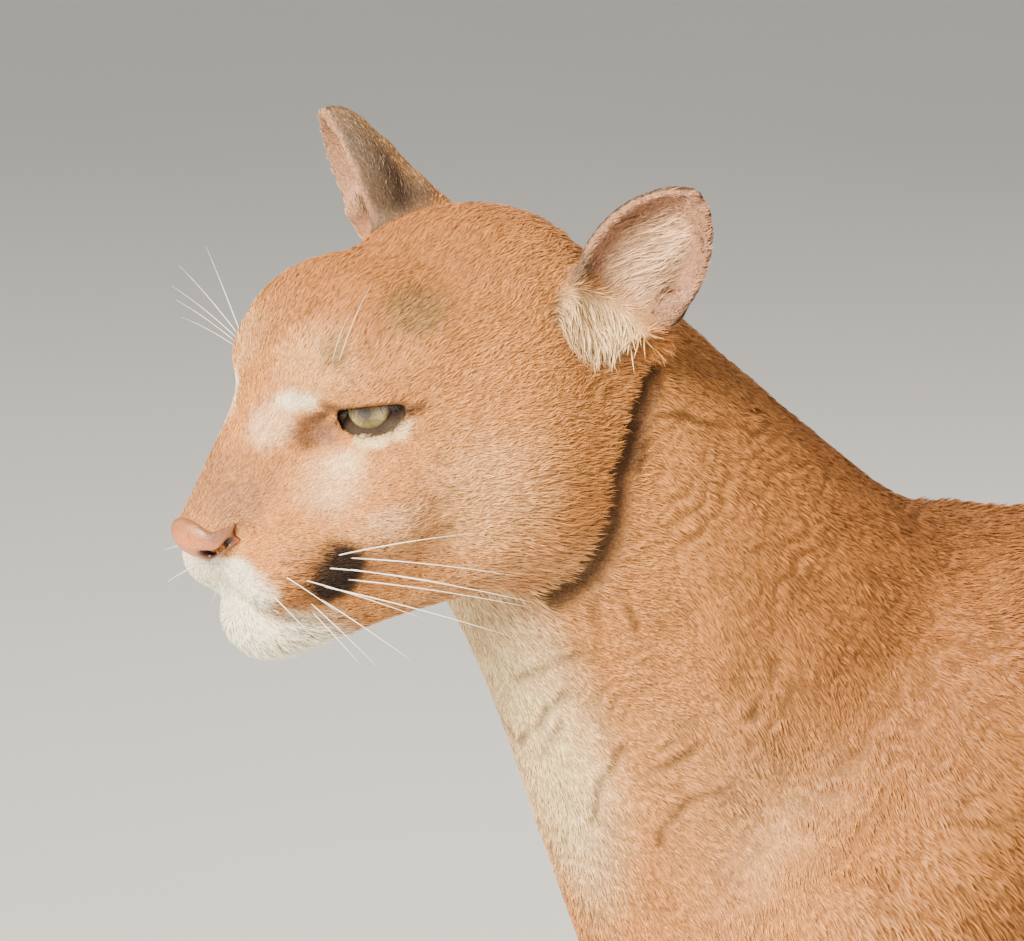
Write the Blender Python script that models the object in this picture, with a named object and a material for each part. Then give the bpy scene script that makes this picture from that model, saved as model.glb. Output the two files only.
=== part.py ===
"""A life-size cougar as a still museum model: it stands on four feet, head low and turned to its left.

The whole animal is one smooth shape: round masses and limbs that flow into one another.
Each node is that shape, kept between flat cuts that leave a thin gap to its neighbours.
Sizes are in centimetres, x to the animal's left, y to its back, z up, and metres come out.
"""

import math
from typing import NamedTuple

import bmesh
import bpy
import numpy as np

METRE = 0.01          # one centimetre
GAP = 0.03            # space left between two neighbours

# The head stands apart in its own frame: middle of the brain case, y to the back of the head.
HEAD_AT = (0.0, -66.0, 75.0)
NOSE_DOWN = 17.0      # degrees
HEAD_LEFT = 9.0       # degrees

EYE_AT = (3.65, -6.95, 1.35)
EYE_RADIUS = 1.45
GAZE = (0.62, -0.77, 0.12)
LID_THICKNESS = 0.2
LID_CORNER = 0.72     # how far in front of the eye's middle the two lids meet
UPPER_LID = 9.0       # degrees above the gaze
LOWER_LID = 39.0      # degrees below it
LID_ACROSS = (0.62, 0.76, -0.06)      # from the inner corner of the lids to the outer
LID_REACH = 0.55      # how far out from the eye the slit is cut
LID_SEAM = 0.7

NOSE_AT = (0.0, -15.05, -2.2)
NOSE_RADII = (1.75, 1.35, 1.1)
NOSE_TILT = -35.0
NOSE_SEAM = 0.4
NOSE_CUT_AT = (0.0, -16.3, -2.75)
NOSE_CUT_RADII = (2.15, 1.55, 1.45)

EAR_LONG = 4.3
EAR_WIDE = 2.75
EAR_DEEP = 2.1
EAR_WALL = 0.55
EAR_RISE = 2.9        # from the ear's base to the middle of its cup
EAR_FLARE = 0.22      # how much the cup narrows to its tip
EAR_RIM = 0.55        # how far in front of its middle the cup is cut off
EAR_SEAM = 0.9
HOLLOW_AT = (0, 0.15, 0.95)
HOLLOW_DEEPER = 0.45
EAR_CLEARANCE = 0.4   # between an ear and the neck behind it
EAR_CUT = 2.5         # where along the ear its node begins

FORE_PAW_X = 7.4
HIND_PAW_X = 8.0
FORE_PAW_Y = {1: -43.0, -1: -36.0}    # the left forefoot stands a little ahead
HIND_PAW_Y = {1: 40.0, -1: 31.0}      # and the left hind foot a little behind
FORE_PAW_SIZE = 1.14
HIND_PAW_SIZE = 1.04

TAIL_LENGTHS = 3

# How widely the parts flow into one another.
HEAD_SEAM = 1.3
LEG_SEAM = 2.8
PAW_SEAM = 1.2
TOE_SEAM = 0.35
TAIL_SEAM = 2.5


class Ball(NamedTuple):
    """An ellipsoid that joins the shape over a soft seam."""

    at: tuple
    radii: tuple
    seam: float
    turn: tuple = (0, 0, 0)


class Limb(NamedTuple):
    """A round bar that changes its radius from one end to the other."""

    start: tuple
    end: tuple
    first: float
    last: float
    seam: float


class Ear(NamedTuple):
    base: tuple
    axis: tuple
    front: tuple


# Masses of the head. Those of a pair are given once, for the left.
SKULL = Ball((0, 0.6, 0.6), (6.6, 7.0, 5.7), 0)
HEAD_SINGLE = (
    Ball((0, -5.8, 1.7), (4.6, 4.6, 4.0), 1.6),               # forehead
    Limb((0, -8.6, 1.2), (0, -13.9, -1.8), 2.8, 1.75, 1.2),   # bridge of the nose
    Ball((0, -11.2, -3.6), (3.3, 3.7, 3.2), 1.4),             # muzzle
)
HEAD_PAIRS = (
    Ball((1.9, -5.2, 3.3), (2.5, 4.1, 3.05), 1.4),                 # dome beside the forehead's groove
    Ball((3.0, -7.2, 2.8), (1.9, 1.7, 1.2), 1.2, (0, 20, 30)),     # brow
    Ball((4.3, -3.6, 0.7), (2.2, 3.7, 3.6), 1.6),                  # temple
    Ball((4.4, -1.1, -3.8), (3.9, 5.7, 5.5), 2.0),                 # cheek
    Ball((3.4, -6.0, -2.6), (3.1, 5.0, 3.6), 1.6, (0, 0, 20)),     # cheekbone
    Ball((2.4, -9.6, -3.4), (2.5, 4.0, 3.0), 1.5, (0, 0, 15)),     # side of the muzzle
    Ball((1.85, -12.6, -4.4), (2.15, 2.5, 2.0), 0.8, (0, 0, 15)),  # whisker pad
    Limb((4.2, -1.0, -6.4), (1.3, -11.2, -7.0), 3.3, 2.0, 1.6),    # lower jaw
)
CHIN = Ball((0, -12.7, -7.2), (2.5, 2.4, 2.0), 0.8)
MOUTH = (
    (0, -15.2, -4.95), (0.75, -14.95, -5.55), (1.5, -14.5, -6.05), (2.3, -13.8, -6.6), (2.85, -12.9, -7.05),
    (3.2, -12.0, -7.5), (3.5, -11.2, -7.75),
)
MOUTH_RADIUS = 0.16
MOUTH_SEAM = 0.22
NOSTRIL = (
    Limb((0.95, -16.0, -2.75), (0.9, -14.8, -2.3), 0.28, 0.25, 0.2),   # the hole in front
    Limb((1.1, -15.6, -2.55), (1.95, -14.7, -2.25), 0.2, 0.15, 0.15),  # the slit beside it
    Limb((2.1, -14.5, -2.0), (1.6, -14.0, -2.1), 0.3, 0.25, 0.15),     # the slit's outer end
)
PHILTRUM = Limb((0, -16.3, -2.9), (0, -15.3, -4.6), 0.10, 0.16, 0.2)
CREASE = (
    (6.9, 6.0, -2.6), (7.4, 4.3, -3.7), (7.9, 2.1, -5.8), (7.75, 1.1, -7.9), (6.9, -0.1, -9.8),
    (5.4, -1.6, -10.8),
)
CREASE_RADIUS = 0.45
CREASE_SEAM = 0.6
EAR_FOLD = Limb((1.9, -0.8, 0.0), (2.6, -2.9, -1.0), 0.7, 0.55, 0.5)    # at the ear's outer edge
EAR_BACK = Limb((0, -2.1, -1.9), (0, 1.1, -1.4), 1.9, 0.8, 0.8)         # behind the ear's root
LEFT_EAR = Ear((6.5, 4.3, 0.9), (0.40, 0.62, 0.68), (0.74, -0.66, 0.17))
RIGHT_EAR = Ear((-5.9, 1.6, 3.0), (-0.31, 0.05, 0.94), (-0.35, -0.93, 0.0))

# Masses of the body, the neck last.
CHEST = Ball((0, -30, 49.7), (12.2, 22, 13.9), 0, (-3, 0, 0))
BODY = (
    Ball((0, 2, 52.5), (11.4, 28, 12.4), 6.0),
    Ball((0, 29, 55.0), (11.2, 17, 12.4), 5.0, (-6, 0, 0)),
    Limb((0, -28, 56.5), (0, 32, 60.0), 6.8, 6.8, 4.0),
)
NECK = (
    Limb((0, -61.5, 70.0), (0, -42, 52.0), 7.0, 9.8, 4.0),
    Limb((0, -60.0, 73.5), (0, -42, 56.0), 5.0, 5.2, 3.0),    # crest
    Limb((0, -46.5, 61.3), (0, -38, 59.8), 4.4, 4.2, 1.5),    # withers
    Limb((0, -61.5, 65.5), (0, -49.5, 45.0), 4.5, 8.5, 3.0),  # throat and breast
)
TAIL = (
    (0, 40, 58.0, 5.2), (0, 48, 56.5, 4.1), (0, 55, 49.5, 3.6), (0, 60, 38, 3.3),
    (0, 64.5, 26, 3.1), (0, 71.5, 16, 3.0), (0, 81, 11.5, 2.9), (0, 90, 14.0, 2.6),
)


def unit(vector):
    vector = np.asarray(vector, float)
    return vector / np.linalg.norm(vector)


def turning(x=0, y=0, z=0):
    """The matrix that turns about x, then y, then z, by degrees."""
    x, y, z = np.radians((x, y, z))
    about_x = np.array(((1, 0, 0), (0, math.cos(x), -math.sin(x)), (0, math.sin(x), math.cos(x))))
    about_y = np.array(((math.cos(y), 0, math.sin(y)), (0, 1, 0), (-math.sin(y), 0, math.cos(y))))
    about_z = np.array(((math.cos(z), -math.sin(z), 0), (math.sin(z), math.cos(z), 0), (0, 0, 1)))
    return about_z @ about_y @ about_x


HEAD_TURN = turning(NOSE_DOWN, 0, HEAD_LEFT)


def join(a, b, seam):
    """The union of two shapes, rounded over the width of the seam."""
    if seam == 0:
        return np.minimum(a, b)
    share = np.clip(0.5 + 0.5 * (b - a) / seam, 0, 1)
    return b + (a - b) * share - seam * share * (1 - share)


def meet(a, b, seam):
    """What two shapes have in common, with a rounded edge."""
    return -join(-a, -b, seam)


def ball(points, at, radii, turn=(0, 0, 0)):
    """About how far each point lies outside an ellipsoid."""
    away = (points - np.asarray(at)) @ turning(*turn)
    scaled = away / np.asarray(radii)
    size = np.sqrt((scaled**2).sum(1)) + 1e-9
    slope = np.sqrt(((scaled / np.asarray(radii)) ** 2).sum(1)) + 1e-9
    return size * (size - 1) / slope


def limb(points, start, end, first, last):
    """How far each point lies outside a bar with round ends."""
    start = np.asarray(start, float)
    along = np.asarray(end, float) - start
    away = points - start
    share = np.clip(away @ along / (along @ along), 0, 1)
    return np.sqrt(((away - share[:, None] * along) ** 2).sum(1)) - first - (last - first) * share


def mass(points, part):
    if isinstance(part, Ball):
        return ball(points, part.at, part.radii, part.turn)
    return limb(points, part.start, part.end, part.first, part.last)


def add(shape, points, parts):
    for part in parts:
        shape = join(shape, mass(points, part), part.seam)
    return shape


def mirrored(points):
    """Every point moved to the left half, so that one mass serves both sides."""
    return np.column_stack((np.abs(points[:, 0]), points[:, 1], points[:, 2]))


def lid_opening(points):
    """The slit between the lids: a wedge in front of the eye, limited by a ball about it."""
    gaze = unit(GAZE)
    across = np.asarray(LID_ACROSS)
    across = unit(across - (across @ gaze) * gaze)
    upward = np.cross(gaze, across)
    upward = upward if upward[2] > 0 else -upward
    away = points - np.asarray(EYE_AT)
    height = away @ upward
    ahead = away @ gaze - LID_CORNER
    sides = []
    for sign, angle in ((1, math.radians(UPPER_LID)), (-1, math.radians(LOWER_LID))):
        run = EYE_RADIUS * math.cos(angle) - LID_CORNER
        rise = EYE_RADIUS * math.sin(angle)
        sides.append((sign * height * run - ahead * rise) / math.hypot(run, rise))
    near = np.sqrt((away**2).sum(1)) - EYE_RADIUS - LID_REACH
    return meet(meet(meet(sides[0], sides[1], 0.08), -ahead, 0.1), near, 0.2)


def groove(points, line, radius):
    """How far each point lies outside a thin bar along a line of points."""
    lengths = [limb(points, a, b, radius, radius) for a, b in zip(line[:-1], line[1:])]
    return np.min(lengths, axis=0)


def ear_shape(points, ear):
    """A cup: one ellipsoid less another that is set forward in it, cut off in front."""
    axis = unit(ear.axis)
    front = np.asarray(ear.front, float)
    front = unit(front - (front @ axis) * axis)
    side = np.cross(axis, front)
    away = points - np.asarray(ear.base) - axis * EAR_RISE
    local = np.column_stack((away @ side, away @ axis, away @ front))
    height = np.clip(local[:, 1] / EAR_LONG, 0, 1)
    local[:, 0] *= 1 + EAR_FLARE * height**2
    outside = ball(local, (0, 0, 0), (EAR_WIDE, EAR_LONG, EAR_DEEP))
    outside = add(outside, local, (EAR_BACK,))
    hollow_radii = (EAR_WIDE - EAR_WALL * 0.8, EAR_LONG - EAR_WALL, EAR_DEEP + HOLLOW_DEEPER - EAR_WALL)
    hollow = ball(local, HOLLOW_AT, hollow_radii)
    cup = meet(meet(outside, -hollow, 0.25), local[:, 2] - EAR_RIM, 0.3)
    local[:, 0] *= np.sign(ear.base[0])
    return add(cup, local, (EAR_FOLD,))


def head_shape(points, ears=(LEFT_EAR, RIGHT_EAR)):
    """The head in its own frame, with lids, nostrils, mouth line and ears."""
    left = mirrored(points)
    shape = add(mass(points, SKULL), points, HEAD_SINGLE)
    shape = add(shape, left, HEAD_PAIRS)
    shape = add(shape, points, (CHIN,))
    shape = join(shape, ball(points, NOSE_AT, NOSE_RADII, (NOSE_TILT, 0, 0)), NOSE_SEAM)
    lid = EYE_RADIUS + LID_THICKNESS
    shape = join(shape, ball(left, EYE_AT, (lid, lid, lid)), LID_SEAM)
    shape = meet(shape, -lid_opening(left), 0.15)
    shape = meet(shape, -groove(left, MOUTH, MOUTH_RADIUS), MOUTH_SEAM)
    for cut in NOSTRIL:
        shape = meet(shape, -mass(left, cut), cut.seam)
    shape = meet(shape, -mass(points, PHILTRUM), PHILTRUM.seam)
    for ear in ears:
        shape = join(shape, ear_shape(points, ear), EAR_SEAM)
    return shape


def paw(points, x, y, size):
    """A foot: one pad of fur and four toes."""
    shape = ball(points, (x, y - 1.5 * size, 2.7 * size), (3.9 * size, 4.6 * size, 2.9 * size))
    for toe_x, toe_y in ((-2.9, -4.2), (-1.05, -5.7), (1.05, -5.7), (2.9, -4.2)):
        at = (x + toe_x * size, y + toe_y * size, 1.95 * size)
        toe = ball(points, at, (1.28 * size, 2.3 * size, 1.9 * size), (0, 0, -3 * toe_x))
        shape = join(shape, toe, TOE_SEAM)
    return shape


def foreleg(points, side):
    y = FORE_PAW_Y[side]
    swing = 0.35 * (y + 40)
    shoulder = (side * 8.3, -48 + swing * 0.5, 46.5)
    elbow = (side * 9.0, -35.5 + swing, 36.0)
    cannon = (side * 7.9, y + 3.6, 20.5)
    wrist = (side * 7.6, y + 2.6, 12.5)
    foot = (side * FORE_PAW_X, y + 0.5, 4.0)
    shape = limb(points, (side * 6.8, -37 + swing * 0.5, 58.5), shoulder, 4.2, 6.0)
    blade = Ball((side * 7.6, -41 + swing * 0.6, 49.5), (4.8, 8.8, 12.0), 3.5, (-18, 0, 0))
    parts = (
        blade,
        Limb(shoulder, elbow, 6.0, 5.6, 3.0),
        Limb(elbow, cannon, 5.2, 3.9, 2.0),
        Limb(cannon, wrist, 3.9, 3.5, 1.5),
        Limb(wrist, foot, 3.5, 3.4, 1.5),
    )
    shape = add(shape, points, parts)
    return join(shape, paw(points, side * FORE_PAW_X, y - 1.0, FORE_PAW_SIZE), PAW_SEAM)


def hind_leg(points, side):
    y = HIND_PAW_Y[side]
    swing = 0.4 * (y - 36)
    hip = (side * 7.0, 33.0, 54.5)
    knee = (side * 9.8, 19.5 + swing, 40.5)
    hock = (side * 8.2, y + 9.0, 21.5)
    calf = (side * 9.2, 0.5 * (knee[1] + hock[1]) + 1.5, 31.5)
    foot = (side * HIND_PAW_X, y + 2.5, 4.5)
    thigh = Ball((side * 7.8, 30.5 + swing * 0.4, 47.5), (6.6, 12.5, 13.5), 4.0, (22, 0, 0))
    parts = (
        thigh,
        Limb(knee, calf, 6.3, 5.4, 3.5),
        Limb(calf, hock, 5.2, 3.2, 2.5),
        Limb(hock, foot, 3.0, 3.1, 1.5),
    )
    shape = add(limb(points, hip, knee, 9.2, 6.8), points, parts)
    return join(shape, paw(points, side * HIND_PAW_X, y - 0.5, HIND_PAW_SIZE), PAW_SEAM)


def tail_line(steps=4):
    """Points on a smooth line through the tail's few given ones, with their radii."""
    given = np.array(TAIL, float)
    padded = np.vstack((2 * given[0] - given[1], given, 2 * given[-1] - given[-2]))
    line = []
    for a, b, c, d in zip(padded[:-3], padded[1:-2], padded[2:-1], padded[3:]):
        for t in np.arange(steps) / steps:
            curve = 2 * b + (c - a) * t + (2 * a - 5 * b + 4 * c - d) * t**2
            line.append(0.5 * (curve + (3 * b - a - 3 * c + d) * t**3))
    line.append(given[-1])
    return np.array(line)


def tail(points):
    line = tail_line()
    shape = np.full(len(points), 1e3)
    for a, b in zip(line[:-1], line[1:]):
        shape = join(shape, limb(points, a[:3], b[:3], a[3], b[3]), 0.5)
    return shape


def in_head_frame(points):
    return (points - np.asarray(HEAD_AT)) @ HEAD_TURN


def from_head_frame(point):
    return HEAD_TURN @ np.asarray(point, float) + np.asarray(HEAD_AT)


def body_shape(points):
    shape = add(mass(points, CHEST), points, BODY + NECK)
    for side in (1, -1):
        shape = join(shape, foreleg(points, side), LEG_SEAM)
        shape = join(shape, hind_leg(points, side), LEG_SEAM)
    return join(shape, tail(points), TAIL_SEAM)


def animal(points, ears=(LEFT_EAR, RIGHT_EAR)):
    """The whole cougar, with the crease where the fur of the cheeks ends on the neck."""
    head = in_head_frame(points)
    shape = join(body_shape(points), head_shape(head, ears), HEAD_SEAM)
    return meet(shape, -groove(mirrored(head), CREASE, CREASE_RADIUS), CREASE_SEAM)


def earless(points):
    return animal(points, ())


def ear_tips(points):
    """The head with its ears, kept clear of the neck, for the ears' own nodes."""
    return np.maximum(head_shape(in_head_frame(points)), EAR_CLEARANCE - body_shape(points))


def grid_values(shape, low, counts, cell, block=4):
    """The shape at every grid point, worked out in full only near its surface."""
    coarse_counts = (counts - 1) // block + 1
    axes = [low[i] + cell * block * np.arange(coarse_counts[i]) for i in range(3)]
    coarse_points = np.stack(np.meshgrid(*axes, indexing="ij"), -1).reshape(-1, 3)
    coarse = shape(coarse_points).reshape(coarse_counts)
    steps = [(np.arange(counts[i]) + block // 2) // block for i in range(3)]
    nearest = [np.minimum(steps[i], coarse_counts[i] - 1) for i in range(3)]
    values = coarse[np.ix_(*nearest)]
    close = np.argwhere(np.abs(values) < cell * block * 1.9)
    values[tuple(close.T)] = shape(low + cell * close)
    return values


def clean_codes():
    """For each way that a cell's eight corners lie in or out, whether one sheet of surface crosses it."""
    corners = list(np.ndindex(2, 2, 2))

    def linked(members):
        reached = members[:1]
        for corner in reached:
            for other in members:
                if other not in reached and sum(abs(a - b) for a, b in zip(corner, other)) == 1:
                    reached.append(other)
        return len(reached) == len(members)

    clean = np.zeros(256, bool)
    for code in range(256):
        within = [corner for bit, corner in enumerate(corners) if code >> bit & 1]
        outside = [corner for corner in corners if corner not in within]
        clean[code] = linked(within) and linked(outside)
    return clean


def without_pinches(values, cell):
    """Fills each cell where two sheets of the surface would touch."""
    clean = clean_codes()
    corners = list(np.ndindex(2, 2, 2))
    for _ in range(12):
        inside = values < 0
        code = np.zeros(np.array(values.shape) - 1, int)
        for bit, (i, j, k) in enumerate(corners):
            part = inside[i:values.shape[0] - 1 + i, j:values.shape[1] - 1 + j, k:values.shape[2] - 1 + k]
            code |= part.astype(int) << bit
        bad = np.argwhere(~clean[code])
        if not len(bad):
            break
        for corner in corners:
            at = tuple((bad + corner).T)
            values[at] = np.minimum(values[at], -0.05 * cell)
    return values


def crossing_points(values, cells):
    """For each cell, the middle of the places where its twelve edges cross the surface."""
    corners = np.array([(i, j, k) for i in (0, 1) for j in (0, 1) for k in (0, 1)])
    levels = np.stack([values[tuple((cells + corner).T)] for corner in corners], 1)
    total = np.zeros((len(cells), 3))
    found = np.zeros((len(cells), 1))
    for i, first in enumerate(corners):
        for j, second in enumerate(corners):
            if j <= i or np.abs(first - second).sum() != 1:
                continue
            a, b = levels[:, i], levels[:, j]
            crossed = (a < 0) != (b < 0)
            share = np.where(crossed, a / np.where(crossed, a - b, 1), 0)[:, None]
            total += crossed[:, None] * (first + share * (second - first))
            found += crossed[:, None]
    return cells + total / found


def surface(shape, low, high, cell):
    """Closed quads round a shape, one point for each grid cell that its surface crosses."""
    low = np.asarray(low, float)
    counts = 4 * np.ceil((np.asarray(high) - low) / (4 * cell)).astype(int) + 1
    values = without_pinches(grid_values(shape, low, counts, cell), cell)
    inside = values < 0
    filled = np.zeros(counts - 1, int)
    for i, j, k in np.ndindex(2, 2, 2):
        filled += inside[i:counts[0] - 1 + i, j:counts[1] - 1 + j, k:counts[2] - 1 + k]
    cells = np.argwhere((filled > 0) & (filled < 8))
    number = np.full(filled.shape, -1)
    number[tuple(cells.T)] = np.arange(len(cells))
    points = low + cell * crossing_points(values, cells)
    quads = []
    for axis in range(3):
        here = np.take(inside, np.arange(counts[axis] - 1), axis)
        there = np.take(inside, np.arange(1, counts[axis]), axis)
        edges = np.argwhere(here != there)
        first, second = np.eye(3, dtype=int)[[k for k in range(3) if k != axis]]
        ring = (edges - first - second, edges - second, edges, edges - first)
        quad = np.stack([number[tuple(corner.T)] for corner in ring], 1)
        leaving = here[tuple(edges.T)] != (axis == 1)
        quad[~leaving] = quad[~leaving][:, ::-1]
        quads.append(quad)
    return points, np.concatenate(quads)


def settle(shape, points, furthest):
    """Points moved straight on to the surface, by two Newton steps."""
    step = 0.02
    for _ in range(2):
        level = shape(points)
        slope = np.empty_like(points)
        for axis in range(3):
            nudge = np.zeros(3)
            nudge[axis] = step
            slope[:, axis] = (shape(points + nudge) - shape(points - nudge)) / (2 * step)
        move = -(level / ((slope**2).sum(1) + 1e-6))[:, None] * slope
        length = np.sqrt((move**2).sum(1)) + 1e-12
        points = points + move * np.minimum(1, furthest / length)[:, None]
    return points


def new_object(name, mesh):
    obj = bpy.data.objects.new(name, mesh)
    bpy.context.collection.objects.link(obj)
    return obj


def baked(obj):
    """The object with its modifiers worked into its mesh."""
    graph = bpy.context.evaluated_depsgraph_get()
    mesh = bpy.data.meshes.new_from_object(obj.evaluated_get(graph))
    obj.modifiers.clear()
    obj.data = mesh
    return obj


def thinned(obj, triangles):
    """The object's mesh with its least needed corners taken out."""
    bm = bmesh.new()
    bm.from_mesh(obj.data)
    bmesh.ops.triangulate(bm, faces=bm.faces)
    before = len(bm.faces)
    bm.to_mesh(obj.data)
    bm.free()
    if before > triangles:
        modifier = obj.modifiers.new("thin", "DECIMATE")
        modifier.ratio = triangles / before
        baked(obj)
    return obj


def keep_largest(bm):
    """Leaves only the largest connected piece."""
    bm.faces.ensure_lookup_table()
    left = set(bm.faces)
    pieces = []
    while left:
        piece = set()
        todo = [next(iter(left))]
        while todo:
            face = todo.pop()
            if face in left:
                left.remove(face)
                piece.add(face)
                todo.extend(other for edge in face.edges for other in edge.link_faces if other in left)
        pieces.append(piece)
    best = max(pieces, key=lambda piece: sum(face.calc_area() for face in piece))
    bmesh.ops.delete(bm, geom=[face for face in bm.faces if face not in best], context="FACES")


def cut_away(obj, cuts):
    """Keeps what lies ahead of each cut, half the gap off it, and closes the cut."""
    bm = bmesh.new()
    bm.from_mesh(obj.data)
    for cut in cuts:
        normal = unit(cut.ahead)
        at = np.asarray(cut.at) + normal * cut.gap / 2
        every = bm.verts[:] + bm.edges[:] + bm.faces[:]
        result = bmesh.ops.bisect_plane(
            bm, geom=every, dist=1e-5, plane_co=at.tolist(), plane_no=(-normal).tolist(), clear_outer=True
        )
        rim = [piece for piece in result["geom_cut"] if isinstance(piece, bmesh.types.BMEdge)]
        if rim:
            bmesh.ops.triangle_fill(bm, edges=rim, use_beauty=True, normal=(-normal).tolist())
    keep_largest(bm)
    bmesh.ops.recalc_face_normals(bm, faces=bm.faces)
    bm.to_mesh(obj.data)
    bm.free()
    return obj


def combined(obj, other, operation):
    """The object after a Boolean with another, which is then removed."""
    modifier = obj.modifiers.new("join", "BOOLEAN")
    modifier.operation = operation
    modifier.solver = "EXACT"
    modifier.object = other
    baked(obj)
    bpy.data.objects.remove(other)
    bm = bmesh.new()
    bm.from_mesh(obj.data)
    bmesh.ops.triangulate(bm, faces=bm.faces)
    keep_largest(bm)
    bm.to_mesh(obj.data)
    bm.free()
    return obj


def round_object(name, at, radii, turn, rings=12):
    """An ellipsoid as a mesh."""
    bm = bmesh.new()
    bmesh.ops.create_uvsphere(bm, u_segments=2 * rings, v_segments=rings, radius=1)
    mesh = bpy.data.meshes.new(name)
    for vert in bm.verts:
        vert.co = (turn @ (np.array(vert.co) * np.asarray(radii)) + np.asarray(at)).tolist()
    bm.to_mesh(mesh)
    bm.free()
    return new_object(name, mesh)


class Cut(NamedTuple):
    """A flat cut: what is kept lies on the side that ahead points to."""

    at: tuple
    ahead: tuple
    gap: float = GAP

    def back(self):
        return Cut(self.at, tuple(-value for value in self.ahead), self.gap)


def ear_cut(ear):
    at = from_head_frame(np.asarray(ear.base) + unit(ear.axis) * EAR_CUT)
    return Cut(tuple(at), tuple(HEAD_TURN @ unit(ear.axis)))


FLOOR = Cut((0, 0, 0), (0, 0, 1), 0)
BEHIND_HEAD = Cut(tuple(from_head_frame((0, 5.2, -2.5))), tuple(HEAD_TURN @ np.array((0, -0.91, 0.42))))
BEHIND_NECK = Cut((0, -48.5, 56.0), (0, -0.785, 0.62))
BEHIND_CHEST = Cut((0, -22, 50), (0, -1, 0))
BEFORE_HIPS = Cut((0, 12, 50), (0, 0.95, -0.31))
BEHIND_RUMP = Cut((0, 47, 55), (0, -1, 0))
MIDDLE = {side: Cut((0, 0, 0), (side, 0, 0)) for side in (1, -1)}
OVER_FORELEG = {side: Cut((side * 3.0, 0, 37.5), (-side * 0.875, 0, 0.482)) for side in (1, -1)}
OVER_HIND_LEG = {side: Cut((side * 2.5, 0, 42), (-side * 0.863, 0, 0.504)) for side in (1, -1)}
OVER_FOREARM = Cut((0, 0, 31), (0, 0, 1))
OVER_FORE_PAW = Cut((0, 0, 9.0), (0, 0, 1))
OVER_SHIN = Cut((0, 0, 33), (0, 0, 1))
OVER_HIND_FOOT = Cut((0, 0, 17.5), (0, 0, 1))
OVER_HIND_PAW = Cut((0, 0, 8.0), (0, 0, 1))
LEFT_EAR_CUT = ear_cut(LEFT_EAR)
RIGHT_EAR_CUT = ear_cut(RIGHT_EAR)


class Node(NamedTuple):
    name: str
    low: tuple
    high: tuple
    cell: float
    triangles: int
    cuts: tuple
    colour: tuple


TAWNY = (0.52, 0.30, 0.14)
PALE = (0.72, 0.56, 0.40)
LEATHER = (0.42, 0.17, 0.12)
IRIS = (0.42, 0.42, 0.16)


def body_nodes():
    """Every node that is cut from the whole animal by flat cuts."""
    nodes = [
        Node("neck", (-16, -76, 36), (16, -34, 86), 0.9, 900, (BEHIND_HEAD.back(), BEHIND_NECK), TAWNY),
        Node("chest", (-20, -62, 28), (20, -18, 76), 1.0, 900,
             (BEHIND_NECK.back(), BEHIND_CHEST, OVER_FORELEG[1], OVER_FORELEG[-1]), TAWNY),
        Node("barrel", (-20, -26, 28), (20, 22, 76), 1.0, 600,
             (BEHIND_CHEST.back(), BEFORE_HIPS.back()), TAWNY),
        Node("rump", (-20, 4, 28), (20, 51, 76), 1.0, 700,
             (BEFORE_HIPS, BEHIND_RUMP, OVER_HIND_LEG[1], OVER_HIND_LEG[-1]), TAWNY),
    ]
    for side, word in ((1, "left"), (-1, "right")):
        low_x, high_x = (-3, 22) if side == 1 else (-22, 3)
        fore = (MIDDLE[side], OVER_FORELEG[side].back())
        hind = (MIDDLE[side], OVER_HIND_LEG[side].back(), BEFORE_HIPS)
        paw_y = FORE_PAW_Y[side]
        foot_y = HIND_PAW_Y[side]
        nodes += [
            Node(f"{word}_shoulder", (low_x, -64, 26), (high_x, -18, 72), 0.9, 600,
                 fore + (BEHIND_NECK.back(), BEHIND_CHEST, OVER_FOREARM), TAWNY),
            Node(f"{word}_forearm", (low_x, -60, 5), (high_x, -22, 36), 0.7, 340,
                 (MIDDLE[side], OVER_FOREARM.back(), OVER_FORE_PAW), TAWNY),
            Node(f"{word}_fore_paw", (low_x, paw_y - 13, -3), (high_x, paw_y + 10, 13), 0.45, 560,
                 (MIDDLE[side], OVER_FORE_PAW.back(), FLOOR), PALE),
            Node(f"{word}_thigh", (low_x, 2, 27), (high_x, 56, 72), 0.9, 700, hind + (OVER_SHIN,), TAWNY),
            Node(f"{word}_shin", (low_x, 8, 12), (high_x, 60, 38), 0.7, 340,
                 (MIDDLE[side], OVER_SHIN.back(), OVER_HIND_FOOT), TAWNY),
            Node(f"{word}_hind_foot", (low_x, foot_y - 12, 4), (high_x, foot_y + 18, 22), 0.6, 240,
                 (MIDDLE[side], OVER_HIND_FOOT.back(), OVER_HIND_PAW), TAWNY),
            Node(f"{word}_hind_paw", (low_x, foot_y - 12, -3), (high_x, foot_y + 10, 12), 0.45, 500,
                 (MIDDLE[side], OVER_HIND_PAW.back(), FLOOR), PALE),
        ]
    return nodes


def tail_nodes():
    """The tail in lengths, cut square across its line."""
    line = tail_line()
    cuts = [BEHIND_RUMP.back()]
    for number in range(1, TAIL_LENGTHS):
        index = round(len(line) * (0.06 + 0.94 * number / TAIL_LENGTHS))
        along = line[index + 1, :3] - line[index - 1, :3]
        cuts.append(Cut(tuple(line[index, :3]), tuple(along)))
    nodes = []
    for number, cut in enumerate(cuts):
        end = (cuts[number + 1].back(),) if number + 1 < len(cuts) else ()
        low_y = cut.at[1] - 6
        high_y = end[0].at[1] + 6 if end else 100
        low = (-6, low_y, 3)
        nodes.append(Node(f"tail_{number + 1}", low, (6, high_y, 68), 0.6, 420, (cut,) + end, TAWNY))
    return nodes


def finished(obj, colour):
    material = bpy.data.materials.new(obj.name)
    material.use_nodes = True
    shader = material.node_tree.nodes["Principled BSDF"]
    shader.inputs["Base Color"].default_value = (*colour, 1)
    shader.inputs["Roughness"].default_value = 0.7
    obj.data.materials.clear()
    obj.data.materials.append(material)
    return obj


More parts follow.
